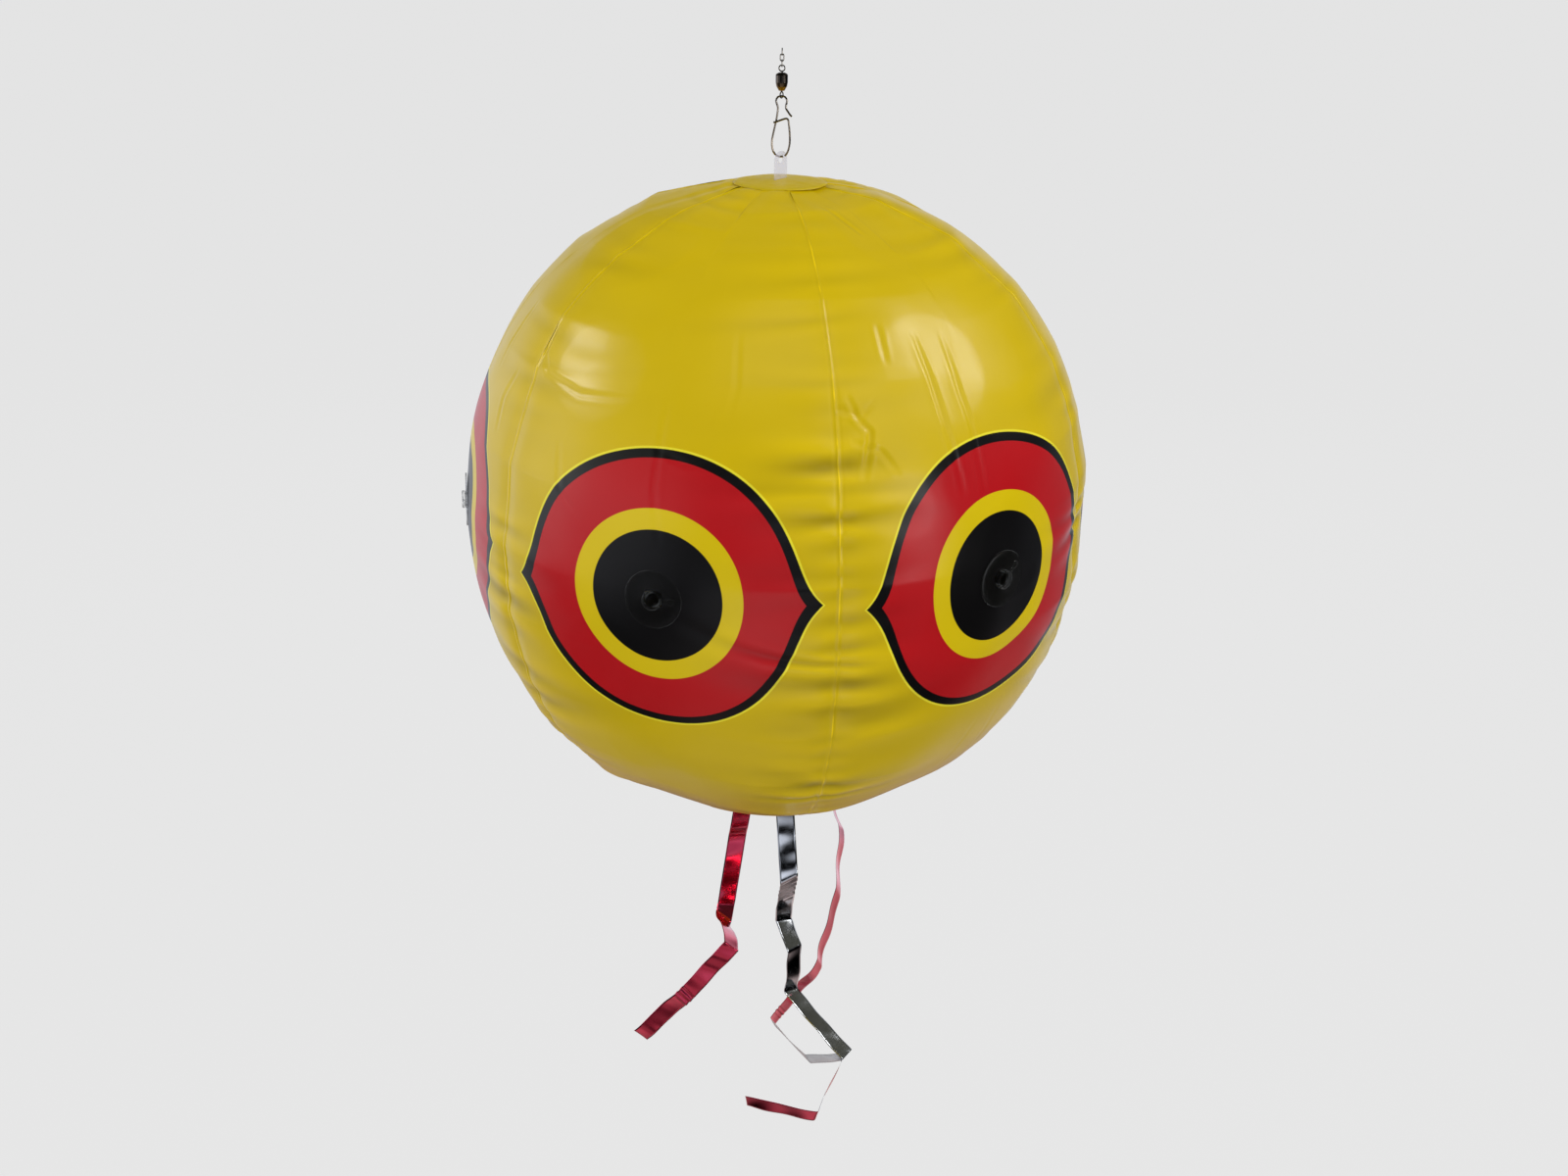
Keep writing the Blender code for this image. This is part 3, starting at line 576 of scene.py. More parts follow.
# Printed soft PVC film, calendered: semi-gloss, so highlights are soft-edged and stretch along the gathers
def printedVinyl():
    ink = {
        "film": "#CAAE00",
        "line": "#E4D82E",
        "black": "#0B0A0B",
        "red": "#B00E16",
        "ring": "#D2B802",
        # painted reflection: the brown multiplied in low on the ball where the film is seen edge-on
        "painted_low_reflection": "#DC9A50",
        "pupilRadius": 38.8,
        "ringRadius": 50.6,
        "redRadius": 78.1,
        "outlineRadius": 83.3,
        "lineWidth": 1.3,
        "cuspAngle": radians(7),
        "redCusp": 8.0,
        "outlineCusp": 12.4,
        "centreRise": 8.0,
        "cuspDrop": 0.05,
        "blur": 0.25,
        "lowReflectionFrom": 0.11,
        "lowReflectionTo": 0.19,
        "gloss": (0.285, 0.34),
        "shine": 0.3,
    }
    material, tree, shader = startMaterial("printed_soft_vinyl")
    flat = addNode(tree, "UVMap", uv_map="print")
    placed = addNode(tree, "Mapping", {"Vector": flat, "Location": (0, -ink["centreRise"], 0),
                                       "Scale": (1000, 1000, 1000)})
    parts = addNode(tree, "SeparateXYZ", {0: placed})
    distance = addNode(tree, "VectorMath", {0: placed}, operation="LENGTH").outputs["Value"]
    # the two pointed corners: how near a point's direction is to the line through them
    sideways = addNode(tree, "Math", {0: parts.outputs["X"]}, operation="ABSOLUTE")
    level = addNode(tree, "Math", {0: sideways, 1: ink["cuspDrop"], 2: parts.outputs["Y"]},
                    operation="MULTIPLY_ADD")
    angle = addNode(tree, "Math", {0: level, 1: sideways}, operation="ARCTAN2")
    opening = addNode(tree, "Math", {0: angle}, operation="ABSOLUTE")
    steep = addNode(tree, "Math", {0: opening, 1: -1 / ink["cuspAngle"]}, operation="MULTIPLY")
    cusp = addNode(tree, "Math", {0: steep}, operation="EXPONENT")
    redEdge = addNode(tree, "Math", {0: cusp, 1: ink["redCusp"], 2: ink["redRadius"]},
                      operation="MULTIPLY_ADD")
    blackEdge = addNode(tree, "Math", {0: cusp, 1: ink["outlineCusp"], 2: ink["outlineRadius"]},
                        operation="MULTIPLY_ADD")
    lineEdge = addNode(tree, "Math", {0: blackEdge, 1: ink["lineWidth"]}, operation="ADD")
    # the film's own colour is a little uneven, as calendered PVC is
    body = addNode(tree, "TexCoord").outputs["Object"]
    cloud = addNode(tree, "TexNoise", {"Vector": body, "Scale": 9, "Detail": 4, "Roughness": 0.6})
    tone = addNode(tree, "MapRange", {"Value": cloud, "From Min": 0.25, "From Max": 0.75, "To Min": 0.98,
                                      "To Max": 1.02}, **smoothly)
    colour = linear(ink["film"])
    for edge, name in ((lineEdge, "line"), (blackEdge, "black"), (redEdge, "red"),
                       (ink["ringRadius"], "ring"), (ink["pupilRadius"], "black")):
        over = addNode(tree, "Math", {0: distance, 1: edge}, operation="SUBTRACT")
        inside = addNode(tree, "MapRange", {"Value": over, "From Min": -ink["blur"], "From Max": ink["blur"],
                                            "To Min": 1, "To Max": 0}, **smoothly)
        colour = addNode(tree, "Mix", {0: inside, 6: colour, 7: linear(ink[name])},
                         data_type="RGBA").outputs[2]
    colour = addNode(tree, "VectorMath", {0: colour, 3: tone}, operation="SCALE").outputs[0]
    # painted shade: the colour is 4% darker in the narrow groove beside the weld
    seam = addNode(tree, "Attribute", attribute_name="seamGap")
    groove = addNode(tree, "MapRange", {"Value": seam.outputs["Fac"], "From Min": 0.5 * mm,
                                        "From Max": 1.3 * mm, "To Min": 0.96, "To Max": 1.0}, **smoothly)
    # painted highlight: the weld's bead is drawn lighter, as glints in runs of about 18 mm
    run = addNode(tree, "TexNoise", {"Vector": body, "Scale": 55, "Detail": 2})
    glint = addNode(tree, "MapRange", {"Value": run, "From Min": 0.42, "From Max": 0.6, "To Min": 1.06,
                                       "To Max": 1.4})
    bead = addNode(tree, "MapRange", {"Value": seam.outputs["Fac"], "From Min": 0.25 * mm,
                                      "From Max": 0.6 * mm, "To Min": glint, "To Max": 1.0})
    shade = addNode(tree, "Math", {0: groove, 1: bead}, operation="MULTIPLY")
    # painted shade and highlight: gathered film is drawn darker in its hollows and lighter on its crests
    folded = addNode(tree, "Attribute", attribute_name="gathers")
    hollow = addNode(tree, "MapRange", {"Value": folded.outputs["Fac"], "From Min": -1.3 * mm,
                                        "From Max": 0.4 * mm, "To Min": 0.58, "To Max": 1.08})
    shade = addNode(tree, "Math", {0: shade, 1: hollow}, operation="MULTIPLY")
    colour = addNode(tree, "VectorMath", {0: colour, 3: shade}, operation="SCALE").outputs[0]
    # painted reflection: low on the ball, where the film is seen edge-on, its colour is multiplied towards
    # brown, standing in for a brown reflection from below
    level = addNode(tree, "SeparateXYZ", {0: body}).outputs["Z"]
    low = addNode(tree, "MapRange", {"Value": level, "From Min": ballMiddle - ink["lowReflectionFrom"],
                                     "From Max": ballMiddle - ink["lowReflectionTo"]})
    facing = addNode(tree, "LayerWeight", {"Blend": 0.5}).outputs["Facing"]
    edgeOn = addNode(tree, "MapRange", {"Value": facing, "From Min": 0.55, "From Max": 0.95, "To Max": 0.75})
    painted_low_reflection = addNode(tree, "Math", {0: low, 1: edgeOn}, operation="MULTIPLY")
    colour = addNode(tree, "Mix", {0: painted_low_reflection, 6: colour, 7: linear(ink["painted_low_reflection"])}, data_type="RGBA",
                     blend_type="MULTIPLY").outputs[2]
    tree.links.new(colour, shader.inputs["Base Color"])
    # handling leaves the gloss uneven over some 30 mm
    wear = addNode(tree, "TexNoise", {"Vector": body, "Scale": 33, "Detail": 1})
    gloss = addNode(tree, "MapRange", {"Value": wear, "From Min": 0.2, "From Max": 0.8,
                                       "To Min": ink["gloss"][0], "To Max": ink["gloss"][1]}, **smoothly)
    tree.links.new(gloss.outputs[0], shader.inputs["Roughness"])
    shader.inputs["IOR"].default_value = vinylIor
    shader.inputs["Specular IOR Level"].default_value = ink["shine"]  # lowered against a haze on the yellow
    # fine crinkles of 4 to 10 mm, drawn as a bump
    stretch = addNode(tree, "Mapping", {"Vector": flat, "Scale": (70, 150, 1)})
    crinkle = addNode(tree, "TexNoise", {"Vector": stretch, "Scale": 1, "Detail": 0, "Distortion": 0.3})
    bump = addNode(tree, "Bump", {"Height": crinkle, "Strength": 0.12, "Distance": 0.2 * mm})
    tree.links.new(bump.outputs[0], shader.inputs["Normal"])
    return material


# Clear soft PVC, welded or moulded: shows what is behind it; seen edge-on along its rims it is less clear,
# and its colour turns to a painted rim tone that stands in for the light the rims catch
def clearVinyl(name, base, paintedRimTone, alpha, rim, roughness):
    material, tree, shader = startMaterial(name)
    body = addNode(tree, "TexCoord").outputs["Object"]
    haze = addNode(tree, "TexNoise", {"Vector": body, "Scale": 160, "Detail": 3})
    gloss = addNode(tree, "MapRange", {"Value": haze, "From Min": 0.35, "From Max": 0.65,
                                       "To Min": roughness * 0.8, "To Max": roughness * 1.3})
    edge = addNode(tree, "LayerWeight", {"Blend": 0.35})
    cover = addNode(tree, "MapRange", {"Value": edge.outputs["Facing"], "From Min": 0.2, "To Min": alpha,
                                       "To Max": rim})
    # painted highlight: where the film is seen edge-on, its colour turns to the rim tone
    paintedRim = addNode(tree, "MapRange", {"Value": edge.outputs["Facing"], "From Min": 0.4, "From Max": 0.85})
    tone = addNode(tree, "Mix", {0: paintedRim, 6: linear(base), 7: linear(paintedRimTone)}, data_type="RGBA")
    tree.links.new(tone.outputs[2], shader.inputs["Base Color"])
    shader.inputs["IOR"].default_value = vinylIor
    tree.links.new(gloss.outputs[0], shader.inputs["Roughness"])
    tree.links.new(cover.outputs[0], shader.inputs["Alpha"])
    bump = addNode(tree, "Bump", {"Height": haze, "Strength": 0.2, "Distance": 0.1 * mm})
    tree.links.new(bump.outputs[0], shader.inputs["Normal"])
    return material


vinyl = printedVinyl()
# the second colour of each is its painted rim tone
clearMoulded = clearVinyl("clear_moulded_pvc", "#1C1C1A", "#A4A8AA", 0.10, 0.95, 0.08)
clearFilm = clearVinyl("clear_pvc_tape", "#C9BE6A", "#D8D090", 0.15, 0.45, 0.16)
capFilm = clearVinyl("tinted_pvc_cap_film", "#CAB004", "#CAAE04", 0.85, 0.95, 0.36)
tabFilm = clearVinyl("clear_pvc_tab", "#CDCBDC", "#E4E2F0", 0.22, 0.8, 0.1)


# Panels
panelMesh = {
    "columns": 160,
    "rows": 400,
    "crowding": 0.8,
    "holeRadius": 5.5 * mm,
    # the rings of the grid that are drawn to the hole's rim, in shares of its radius
    "rimShares": (0.75, 1.15),
    "capShare": 0.8,
    "capFade": 6 * mm,
    "stretchReach": 70 * mm,
}
# each print sits a little askew and stretched: tilt, shift in mm, and its left and right halves' stretch
prints = [(3.0, 2.0, 0.943, 1.02), (-0.3, -1.3, 1.085, 0.905), (1.2, 0, 1.14, 1.02), (-1.5, 0, 1.0, 1.07),
          (0.8, 0, 0.99, 1.12), (1.8, -1.0, 0.97, 1.22)]
eyeLatitude = radians(1.9)


def makePanel(number):
    middle = ball["turn"] + panelAngle * number
    start, stop = ball["welds"][number:number + 2]
    bm = bmesh.new()
    bmesh.ops.create_grid(bm, x_segments=panelMesh["columns"], y_segments=panelMesh["rows"], size=1)
    mesh = bpy.data.meshes.new(f"vinyl_panel_{number + 1}")
    bm.to_mesh(mesh)
    bm.free()
    grid = points(mesh)
    crowd = panelMesh["crowding"]
    across = (1 - crowd) * grid[:, 0] + crowd * np.sin(pi / 2 * grid[:, 0])
    latitude = acos(ball["panelTip"] / ball["radius"]) * grid[:, 1]
    longitude = (start + stop) / 2 + across * (stop - start) / 2
    smooth = skinPoint(latitude, longitude)
    girth = np.hypot(smooth[:, 0], smooth[:, 1])
    x = (longitude - middle) * girth
    y = np.interp(latitude, meridianLatitudes, meridianLengths)
    gap = (1 - abs(across)) * (stop - start) / 2 * girth
    edge = np.where(across > 0, 1, -1)
    height, gathers = filmRelief(number, x, y, gap, edge, smooth, girth - ball["capRadius"])
    # flat under the end caps
    height *= np.clip((girth - ball["capRadius"] * panelMesh["capShare"]) / panelMesh["capFade"], 0, 1)
    place = skin(latitude, longitude, height)
    # the valve's hole: nothing inside it, and its rim drawn to a circle
    valve = skin(eyeLatitude, middle)
    reach = np.linalg.norm(place - valve, axis=1)
    inner, outer = (panelMesh["holeRadius"] * share for share in panelMesh["rimShares"])
    rim = (reach < outer) & (reach > inner)
    place[rim] = valve + (place[rim] - valve) * (panelMesh["holeRadius"] / reach[rim])[:, None]
    mesh.vertices.foreach_set("co", place.ravel())

    tilt, shift, leftStretch, rightStretch = prints[number]
    turn = radians(tilt)
    x = x - shift * mm
    stretch = np.where(x < 0, leftStretch, rightStretch) - 1
    x = x * (1 + stretch * np.clip(abs(x) / panelMesh["stretchReach"], 0, 1))
    flat = np.stack((x * cos(turn) + y * sin(turn), y * cos(turn) - x * sin(turn)), -1)
    corner = np.empty(len(mesh.loops), int)
    mesh.loops.foreach_get("vertex_index", corner)
    layer = mesh.uv_layers.new(name="print")
    layer.data.foreach_set("uv", flat[corner].ravel())
    mesh.attributes.new("seamGap", "FLOAT", "POINT").data.foreach_set("value", gap)
    mesh.attributes.new("gathers", "FLOAT", "POINT").data.foreach_set("value", gathers)

    bm = bmesh.new()
    bm.from_mesh(mesh)
    bm.verts.ensure_lookup_table()
    inside = [bm.verts[i] for i in np.flatnonzero(reach < inner)]
    bmesh.ops.delete(bm, geom=inside, context="VERTS")
    bm.to_mesh(mesh)
    bm.free()
    finishMesh(mesh, mesh.name, "balloon", [f"panel_{number + 1}"], [vinyl])


for number in range(6):
    makePanel(number)
print("panels ready")


# End caps
caps = {
    "rings": 12,
    "steps": 72,
    "thickness": 0.4 * mm,
    "seat": 0.3 * mm,
    "press": 0.25 * mm,
    "pressWidth": 3 * mm,
    "steepest": radians(89.95),
}


def makeCap(name, side):
    bm = spunProfile([(ball["capRadius"] * ring / caps["rings"], 0) for ring in range(caps["rings"] + 1)],
                     caps["steps"])
    for vert in bm.verts:
        distance = hypot(vert.co.x, vert.co.y)
        latitude = side * min(acos(distance / ball["radius"]), caps["steepest"])
        # the rim is pressed down by the weld
        press = caps["press"] * max(0, 1 - (ball["capRadius"] - distance) / caps["pressWidth"])
        vert.co = skin(latitude, atan2(vert.co.x, -vert.co.y), caps["seat"] + caps["thickness"] - press)
    for face in bm.faces:
        if face.normal.dot(Vector((0, 0, side))) < 0:
            face.normal_flip()
    bm.normal_update()
    facing = sum(face.normal.z * side for face in bm.faces)
    if facing < 0:
        bmesh.ops.reverse_faces(bm, faces=bm.faces)
    cap = finishPiece(bm, f"vinyl_{name}", "balloon", [name], [capFilm])
    film = cap.modifiers.new("film", "SOLIDIFY")
    film.thickness = caps["thickness"]
    film.offset = -1


makeCap("top_cap", 1)
makeCap("bottom_cap", -1)
print("caps ready")


# Valves in the pupils
valveSizes = {
    "flange": 16.9 * mm,
    "flangeThickness": 0.55 * mm,
    "bead": 0.35 * mm,
    "stem": 5.2 * mm,
    "bore": 4.3 * mm,
    "stemDepth": 12 * mm,
    "collar": 0.4 * mm,
    "plugDepth": 8 * mm,
    "plugHead": 5.6 * mm,
    "headHeight": 1.6 * mm,
    "dish": 0.6 * mm,
    "strapWidth": 2.4 * mm,
    "strapThickness": 0.7 * mm,
    "strapReach": 11.5 * mm,
    "pad": 2.0 * mm,
    "padSteps": 24,
    "strapBevel": 0.28 * mm,
    "seat": 0.3 * mm,
    "steps": 64,
    "sharpAngle": radians(50),
}
plugTurns = [radians(angle) for angle in (2, 36, -8, 20, -25, 8)]


def layOnValve(bm, number, turn=0.0):  # lays a mesh (across, up, out) over the film at a panel's valve
    middle = ball["turn"] + panelAngle * number
    origin = skin(eyeLatitude, middle)
    out = Vector(skin(eyeLatitude, middle, 1 * mm) - origin).normalized()
    east = Vector((0, 0, 1)).cross(out).normalized()
    up = out.cross(east)
    spin = Matrix.Rotation(turn, 3, "Z")
    for vert in bm.verts:
        point = spin @ vert.co
        north = eyeLatitude + point.y / ball["radius"]
        near = skin(north, middle + point.x / (ball["radius"] * cos(eyeLatitude)))
        drop = Vector(near - origin).dot(out)
        vert.co = Vector(origin) + east * point.x + up * point.y + out * (point.z + drop)


def makeValve(number):
    v = valveSizes
    low = v["seat"]
    high = low + v["flangeThickness"]
    collar = high + v["collar"]
    bead = v["bead"]
    body = spunProfile(
        [
            (v["stem"], low),
            (v["flange"] * 0.5, low),
            (v["flange"] - bead * 0.3, low),
            (v["flange"], low + bead * 0.5),
            (v["flange"], high + bead * 0.3),
            (v["flange"] - bead * 0.4, high + bead),
            (v["flange"] - bead * 1.2, high + bead),
            (v["flange"] - bead * 2.4, high),
            (v["flange"] * 0.72, high),
            (v["stem"] + v["collar"] * 1.6, high),
            (v["stem"] + v["collar"] * 0.5, high + v["collar"] * 0.5),
            (v["stem"], collar),
            (v["bore"], collar),
            (v["bore"], -v["stemDepth"]),
            (v["stem"], -v["stemDepth"]),
        ],
        v["steps"],
    )
    layOnValve(body, number)
    piece = finishPiece(body, f"valve_disc_{number + 1}", "balloon", [f"valve_body_{number + 1}"],
                        [clearMoulded])
    piece.data.set_sharp_from_angle(angle=v["sharpAngle"])

    under = collar + v["seat"]
    over = under + v["headHeight"]
    dish = over - v["dish"]
    plugRadius = v["bore"] - v["seat"]
    plug = spunProfile(
        [
            (0, -v["plugDepth"]),
            (plugRadius * 0.9, -v["plugDepth"]),
            (plugRadius, -v["plugDepth"] * 0.9),
            (plugRadius, under),
            (v["plugHead"], under),
            (v["plugHead"], over - bead),
            (v["plugHead"] - bead * 0.3, over - bead * 0.3),
            (v["plugHead"] - bead, over),
            (v["plugHead"] - 2 * bead, over),
            (v["plugHead"] - 3 * bead, dish),
            (v["plugHead"] * 0.4, dish - bead * 0.4),
            (v["plugHead"] * 0.28, dish + bead * 0.8),
            (0, dish + bead * 0.8),
        ],
        v["steps"],
    )
    # the strap: a flat tongue with a round pad
    half = v["strapWidth"] / 2
    start = v["plugHead"] - 2 * bead
    spread = asin(half / v["pad"])
    outline = [(start, -half)]
    for step in range(v["padSteps"] + 1):
        angle = spread - pi + 2 * (pi - spread) * step / v["padSteps"]
        outline.append((v["strapReach"] + v["pad"] * cos(angle), v["pad"] * sin(angle)))
    outline.append((start, half))
    strapLow = (under + dish - v["strapThickness"]) / 2
    strap = bmesh.new()
    lower = strap.faces.new([strap.verts.new((px, py, strapLow)) for px, py in outline])
    pushed = bmesh.ops.extrude_face_region(strap, geom=[lower])["geom"]
    raised = [item for item in pushed if isinstance(item, bmesh.types.BMVert)]
    bmesh.ops.translate(strap, verts=raised, vec=(0, 0, v["strapThickness"]))
    rims = [edge for edge in strap.edges if abs(edge.verts[0].co.z - edge.verts[1].co.z) < 1e-6]
    bmesh.ops.bevel(strap, geom=rims, offset=v["strapBevel"], segments=3, affect="EDGES", profile=0.5,
                    material=-1)
    bmesh.ops.recalc_face_normals(strap, faces=strap.faces)
    strapMesh = bpy.data.meshes.new("strap")
    strap.to_mesh(strapMesh)
    strap.free()
    plug.from_mesh(strapMesh)
    bpy.data.meshes.remove(strapMesh)
    layOnValve(plug, number, plugTurns[number])
    piece = finishPiece(plug, f"valve_stopper_{number + 1}", f"plug_{number + 1}",
                        [f"valve_plug_{number + 1}"], [clearMoulded])
    piece.data.set_sharp_from_angle(angle=v["sharpAngle"])


for number in range(6):
    makeValve(number)
print("valves ready")


# Streamers: cut lengths, places and package creases as in the CAD model
ribbon = {
    "width": 12.7 * mm,
    "lengths": {"left": 318 * mm, "middle": 255 * mm, "right": 447 * mm},
    "places": {"left": (-16 * mm, 4 * mm), "middle": (8 * mm, -20 * mm), "right": (33 * mm, 14 * mm)},
    "turns": {"left": 0, "middle": 0, "right": radians(90)},
    "leans": {"left": radians(7), "middle": radians(-4), "right": radians(7)},
    "tape": (15 * mm, 14 * mm, 0.3 * mm),
    "rowLength": 1.1 * mm,
    "columns": 10,
    "cup": 0.18 * mm,
    "wave": 0.9 * mm,
    "waveCount": 7,
    "wavePitch": (24 * mm, 95 * mm),
    "waveSkew": 0.3,
    "waveSpread": 2.6,
    "crumpleSkew": 0.2,
    "easeIn": 18 * mm,
    "thickness": 0.06 * mm,
    # where a strip is crumpled: share of its length, reach either way, depth, pitch
    "crumples": {"left": [(0.81, 6 * mm, 0.7 * mm, 6 * mm)], "middle": [(0.33, 13 * mm, 0.5 * mm, 6.5 * mm)],
                 "right": [(0.53, 5 * mm, 0.4 * mm, 5 * mm)]},
}
# share of its length, skew in degrees, fold in degrees
ribbonCreases = {
    "left": [(0.10, 4, 14), (0.13, -5, -18), (0.20, -10, -49), (0.03, 30, -70), (0.16, 1, 110),
             (0.17, 22, 8), (0.21, 5, 0)],
    "middle": [(0.18, -6, -4), (0.09, -24, 47), (0.23, 16, -63), (0.09, -2, 47), (0.17, 14, -72),
               (0.24, -6, 0)],
    "right": [(0.12, 40, 28), (0.12, 50, 14), (0.14, 49, 33), (0.18, 49, -110), (0.10, 52, -71),
              (0.09, 26, 140), (0.11, 27, 89), (0.14, 10, 0)],
}


# Metallised polyester ribbon: vacuum-coated and lacquered, so it mirrors the room in hard bands
def foilMaterial(name, base, roughness, metallic, grain):
    material, tree, shader = startMaterial(name)
    flat = addNode(tree, "UVMap", uv_map="ribbon")
    marks = addNode(tree, "TexNoise", {"Vector": flat, "Scale": 90, "Detail": 4, "Roughness": 0.6})
    rub = addNode(tree, "MapRange", {"Value": marks, "From Min": 0.4, "From Max": 0.75,
                                     "To Min": roughness, "To Max": roughness + 0.12})
    shader.inputs["Base Color"].default_value = linear(base)
    shader.inputs["Metallic"].default_value = metallic
    tree.links.new(rub.outputs[0], shader.inputs["Roughness"])
    shader.inputs["Coat Weight"].default_value = 0.5 * metallic
    shader.inputs["Coat Roughness"].default_value = 0.04
    stretch = addNode(tree, "Mapping", {"Vector": flat, "Scale": (40, 90, 1)})
    ripple = addNode(tree, "TexNoise", {"Vector": stretch, "Scale": 1, "Detail": 1, "Distortion": 0.4})
    bump = addNode(tree, "Bump", {"Height": ripple, "Strength": grain, "Distance": 0.5 * mm})
    tree.links.new(bump.outputs[0], shader.inputs["Normal"])
    return material


redFoil = foilMaterial("red_metallised_film", "#EE4468", 0.15, 1.0, 0.03)
silverFoil = foilMaterial("silver_metallised_film", "#E4E7EC", 0.1, 1.0, 0.03)
redBack = foilMaterial("red_film_bare_back", "#DADCDF", 0.3, 0.5, 0.05)
silverBack = foilMaterial("silver_film_grey_back", "#6E6E64", 0.42, 0.35, 0.1)


def underBall(x, y, lift):  # a place on the underside of the ball, lowered along its normal
    return skin(-acos(hypot(x, y) / ball["radius"]), atan2(x, -y), lift)


def tapeLift(name):  # the tape lies on the end cap, or beside it on a panel
    onCap = hypot(*ribbon["places"][name]) - ribbon["tape"][1] / 2 < ball["capRadius"]
    return caps["seat"] + (caps["thickness"] + caps["seat"] if onCap else 0)


def makeTape(name):
    x, y = ribbon["places"][name]
    turn = Matrix.Rotation(ribbon["turns"][name], 3, "Z")
    width, length, thickness = ribbon["tape"]
    bm = bmesh.new()
    bmesh.ops.create_grid(bm, x_segments=16, y_segments=16, size=1)
    for vert in bm.verts:
        spot = turn @ Vector((vert.co.x * width / 2, vert.co.y * length / 2, 0))
        vert.co = underBall(x + spot.x, y + spot.y, tapeLift(name) + thickness)
    bm.normal_update()
    if sum(face.normal.z for face in bm.faces) > 0:
        bmesh.ops.reverse_faces(bm, faces=bm.faces)
    tape = finishPiece(bm, f"clear_tape_{name}", "balloon", [f"streamer_tape_{name}"],
                       [clearFilm])
    film = tape.modifiers.new("film", "SOLIDIFY")
    film.thickness = thickness
    film.offset = -1


def foldRows(name):  # edge points of the folded strip, hung plumb, as the CAD model's
    half = ribbon["width"] / 2
    lay = Matrix.Rotation(ribbon["leans"][name], 4, "Y") @ Matrix.Rotation(-pi / 2, 4, "X")
    rows = [(lay @ Vector((-half, 0, 0)), lay @ Vector((half, 0, 0)))]
    skews = [0.0]
    stops = [0.0]
    for share, skew, fold in ribbonCreases[name]:
        stops.append(stops[-1] + share * ribbon["lengths"][name])
        skews.append(half * tan(radians(skew)))
        left, right = Vector((-half, stops[-1] - skews[-1], 0)), Vector((half, stops[-1] + skews[-1], 0))
        rows.append((lay @ left, lay @ right))
        bend = Matrix.Rotation(radians(fold), 4, right - left)
        lay @= Matrix.Translation(left) @ bend @ Matrix.Translation(-left)
    total, moment = 0, Vector()
    for (a, b), (c, d) in zip(rows, rows[1:]):
        for trio in ((a, b, d), (a, d, c)):
            area = area_tri(*trio)
            total += area
            moment += area * sum(trio, Vector()) / 3
    swing = Matrix.Rotation(-atan2(moment.y, -moment.z), 3, "X")
    turn = Matrix.Rotation(ribbon["turns"][name], 3, "Z")
    rows = [(turn @ swing @ left, turn @ swing @ right) for left, right in rows]
    x, y = ribbon["places"][name]
    lift = tapeLift(name) + ribbon["tape"][2]
    tops = [underBall(x + end.x, y + end.y, lift)[2] - end.z for end in rows[0]]
    root = Vector((x, y, min(tops) - caps["seat"]))
    return [(np.array(root + left), np.array(root + right)) for left, right in rows], stops


def makeStreamer(name, front, back, seed):
    rows, stops = foldRows(name)
    length = ribbon["lengths"][name]
    count = round(length / ribbon["rowLength"])
    bm = bmesh.new()
    bmesh.ops.create_grid(bm, x_segments=ribbon["columns"], y_segments=count, size=1)
    mesh = bpy.data.meshes.new(f"foil_streamer_{name}")
    bm.to_mesh(mesh)
    bm.free()
    grid = points(mesh)
    across = (grid[:, 0] + 1) / 2
    along = (1 - grid[:, 1]) / 2 * length
    lefts = np.array([row[0] for row in rows])
    rights = np.array([row[1] for row in rows])
    left = np.stack([np.interp(along, stops, lefts[:, k]) for k in range(3)], -1)
    right = np.stack([np.interp(along, stops, rights[:, k]) for k in range(3)], -1)
    place = left + (right - left) * across[:, None]

    # rows and columns of the grid, to soften the creases along the strip and find its normals
    order = np.lexsort((across, along))
    sheet = place[order].reshape(-1, len(np.unique(grid[:, 0].round(6))), 3)
    for turn in range(2):
        sheet[1:-1] = sheet[:-2] / 4 + sheet[1:-1] / 2 + sheet[2:] / 4
    down = np.gradient(sheet, axis=0)
    wide = np.gradient(sheet, axis=1)
    normal = np.cross(wide, down)
    normal /= np.linalg.norm(normal, axis=-1, keepdims=True)
    t = along[order].reshape(sheet.shape[:2])
    u = across[order].reshape(sheet.shape[:2]) * 2 - 1
    draw = Random(seed)
    bulge = ribbon["cup"] * (1 - u**2)
    for wave in range(ribbon["waveCount"]):
        pitch = draw.uniform(*ribbon["wavePitch"])
        skew = draw.uniform(-ribbon["waveSkew"], ribbon["waveSkew"]) * ribbon["width"]
        angle = 2 * pi * (t + skew * u) / pitch + draw.uniform(0, 2 * pi)
        bulge = bulge + ribbon["wave"] / ribbon["waveSpread"] * np.sin(angle)
    for share, reach, depth, pitch in ribbon["crumples"][name]:
        off = t - share * length
        angle = 2 * pi * (off + ribbon["crumpleSkew"] * u * pitch) / pitch
        bulge = bulge + depth * np.sin(angle) * np.exp(-((off / reach) ** 4))
    bulge = bulge * np.clip(t / ribbon["easeIn"], 0, 1)
    sheet = sheet + normal * bulge[..., None]
    place[order] = sheet.reshape(-1, 3)
    mesh.vertices.foreach_set("co", place.ravel())
    corner = np.empty(len(mesh.loops), int)
    mesh.loops.foreach_get("vertex_index", corner)
    layer = mesh.uv_layers.new(name="ribbon")
    flat = np.stack(((across - 0.5) * ribbon["width"], along), -1)
    layer.data.foreach_set("uv", flat[corner].ravel())
    streamer = finishMesh(mesh, mesh.name, f"{name}_streamer", [f"streamer_{name}"], [front, back])
    film = streamer.modifiers.new("film", "SOLIDIFY")
    film.thickness = ribbon["thickness"]
    film.offset = 0
    film.material_offset = 1
    film.material_offset_rim = 1


for name in ("left", "middle", "right"):
    makeTape(name)
makeStreamer("left", redFoil, redBack, 3)
makeStreamer("middle", silverFoil, silverBack, 5)
makeStreamer("right", redFoil, redBack, 8)
print("streamers ready")
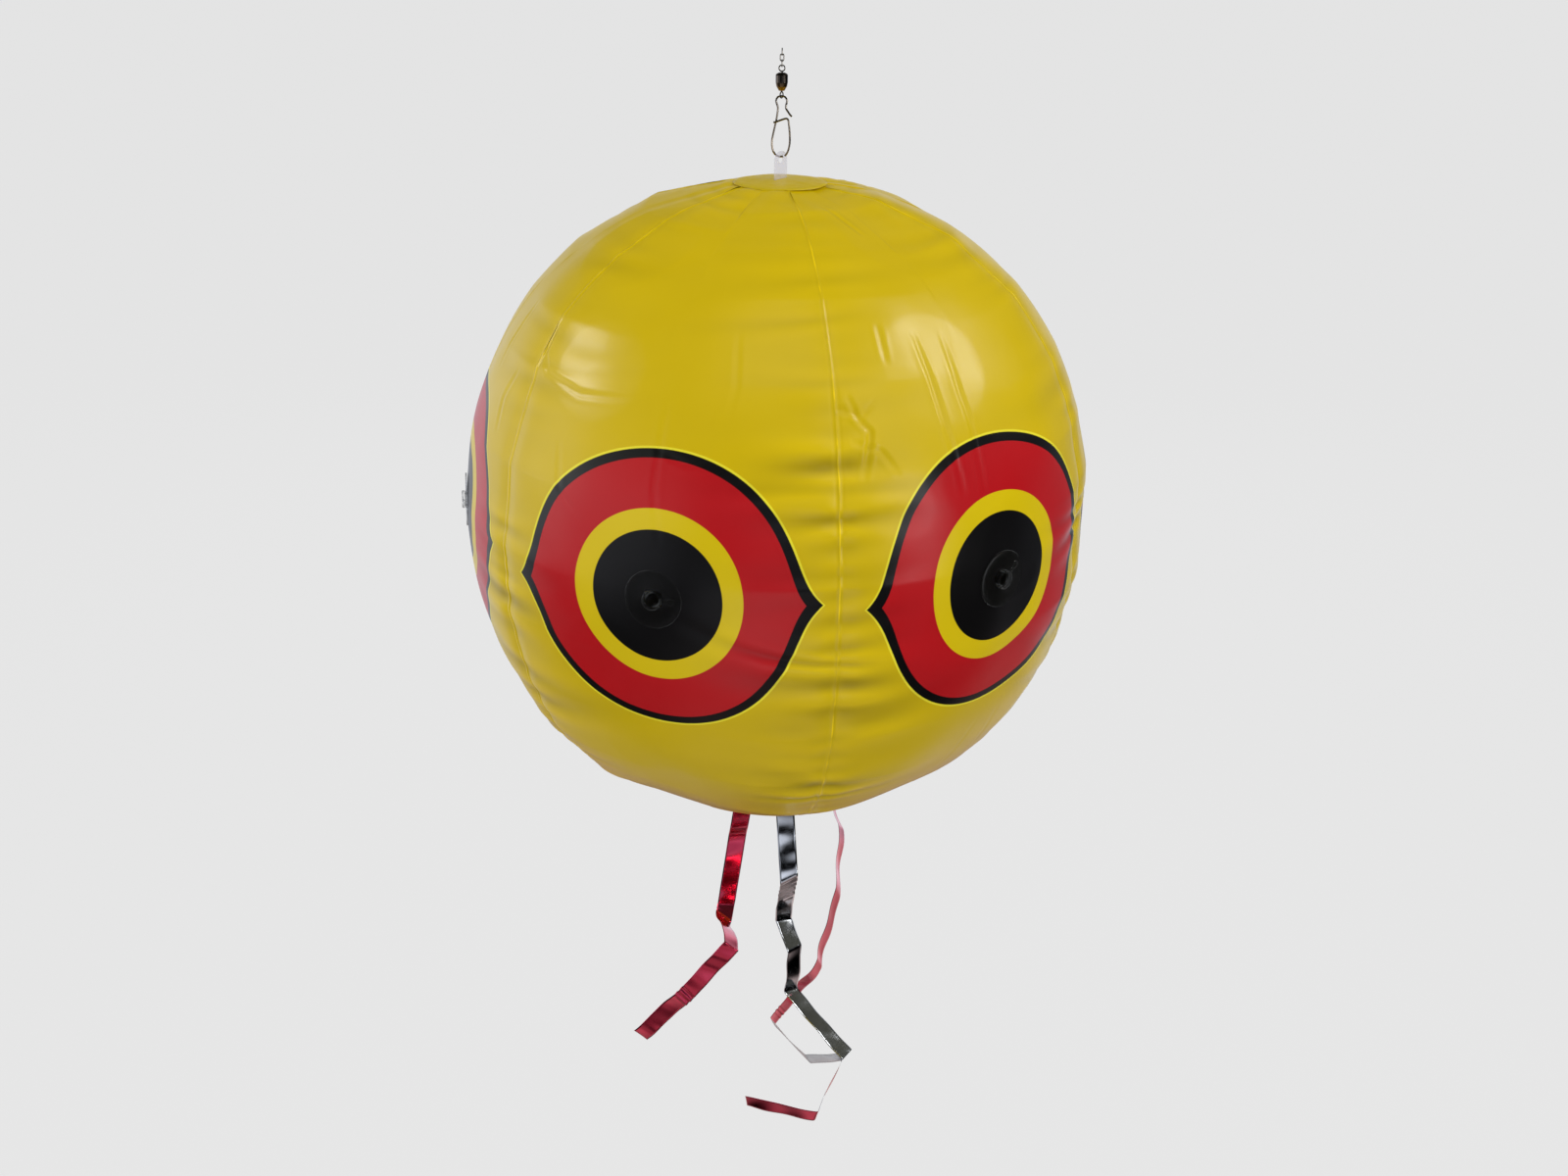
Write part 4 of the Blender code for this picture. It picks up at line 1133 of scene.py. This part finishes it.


# Hanger: the chain, swivel and snap keep their CAD shapes
# Black-nickel plated brass and steel, barrel-polished: dark mirrors with the brass showing where it is
# rubbed; on the snap wire the paler lower part is instead a painted reflection of the pale room
def platedMetal(name, base, wornOrSheen, low, high, roughness):
    material, tree, shader = startMaterial(name)
    body = addNode(tree, "TexCoord").outputs["Object"]
    level = addNode(tree, "SeparateXYZ", {0: body}).outputs["Z"]
    patch = addNode(tree, "TexNoise", {"Vector": body, "Scale": 420, "Detail": 4})
    # lower down the colour turns to the second one: rubbed brass on the barrel, a painted reflection on the
    # snap wire
    rubbedOrSheen = addNode(tree, "MapRange", {"Value": level, "From Min": low, "From Max": high, "To Min": 0.85,
                                        "To Max": 0.0})
    share = addNode(tree, "Math", {0: rubbedOrSheen, 1: patch}, operation="MULTIPLY")
    colour = addNode(tree, "Mix", {0: share, 6: linear(base), 7: linear(wornOrSheen)}, data_type="RGBA").outputs[2]
    tree.links.new(colour, shader.inputs["Base Color"])
    shader.inputs["Metallic"].default_value = 1
    gloss = addNode(tree, "MapRange", {"Value": patch, "From Min": 0.3, "From Max": 0.7, "To Min": roughness,
                                       "To Max": roughness + 0.12})
    tree.links.new(gloss.outputs[0], shader.inputs["Roughness"])
    fine = addNode(tree, "TexNoise", {"Vector": body, "Scale": 1500, "Detail": 2})
    bump = addNode(tree, "Bump", {"Height": fine, "Strength": 0.15, "Distance": 0.05 * mm})
    tree.links.new(bump.outputs[0], shader.inputs["Normal"])
    return material


barrelLow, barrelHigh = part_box("swivel_barrel")
barrelMetal = platedMetal("black_nickel_on_brass", "#4A443E", "#C89A52", barrelLow.z,
                          (barrelLow.z + barrelHigh.z) / 2, 0.14)
# painted reflection: the snap's lower part is drawn paler, for the pale room it mirrors
wireMetal = platedMetal("black_nickel_wire", "#6E6963", "#B8A488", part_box("snap_frame")[0].z,
                        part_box("snap_frame")[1].z, 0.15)


def dressNode(name, material):  # a CAD node keeps its shape and gets its finish
    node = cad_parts[name]
    node.data.materials.clear()
    node.data.materials.append(material)


for name in ("chain_link_top", "chain_link_mid", "chain_link_low", "swivel_eye_upper", "swivel_eye_lower",
             "snap_frame", "snap_gate"):
    dressNode(name, wireMetal)
dressNode("swivel_barrel", barrelMetal)
dressNode("hanging_tab", tabFilm)
print("hanger ready")
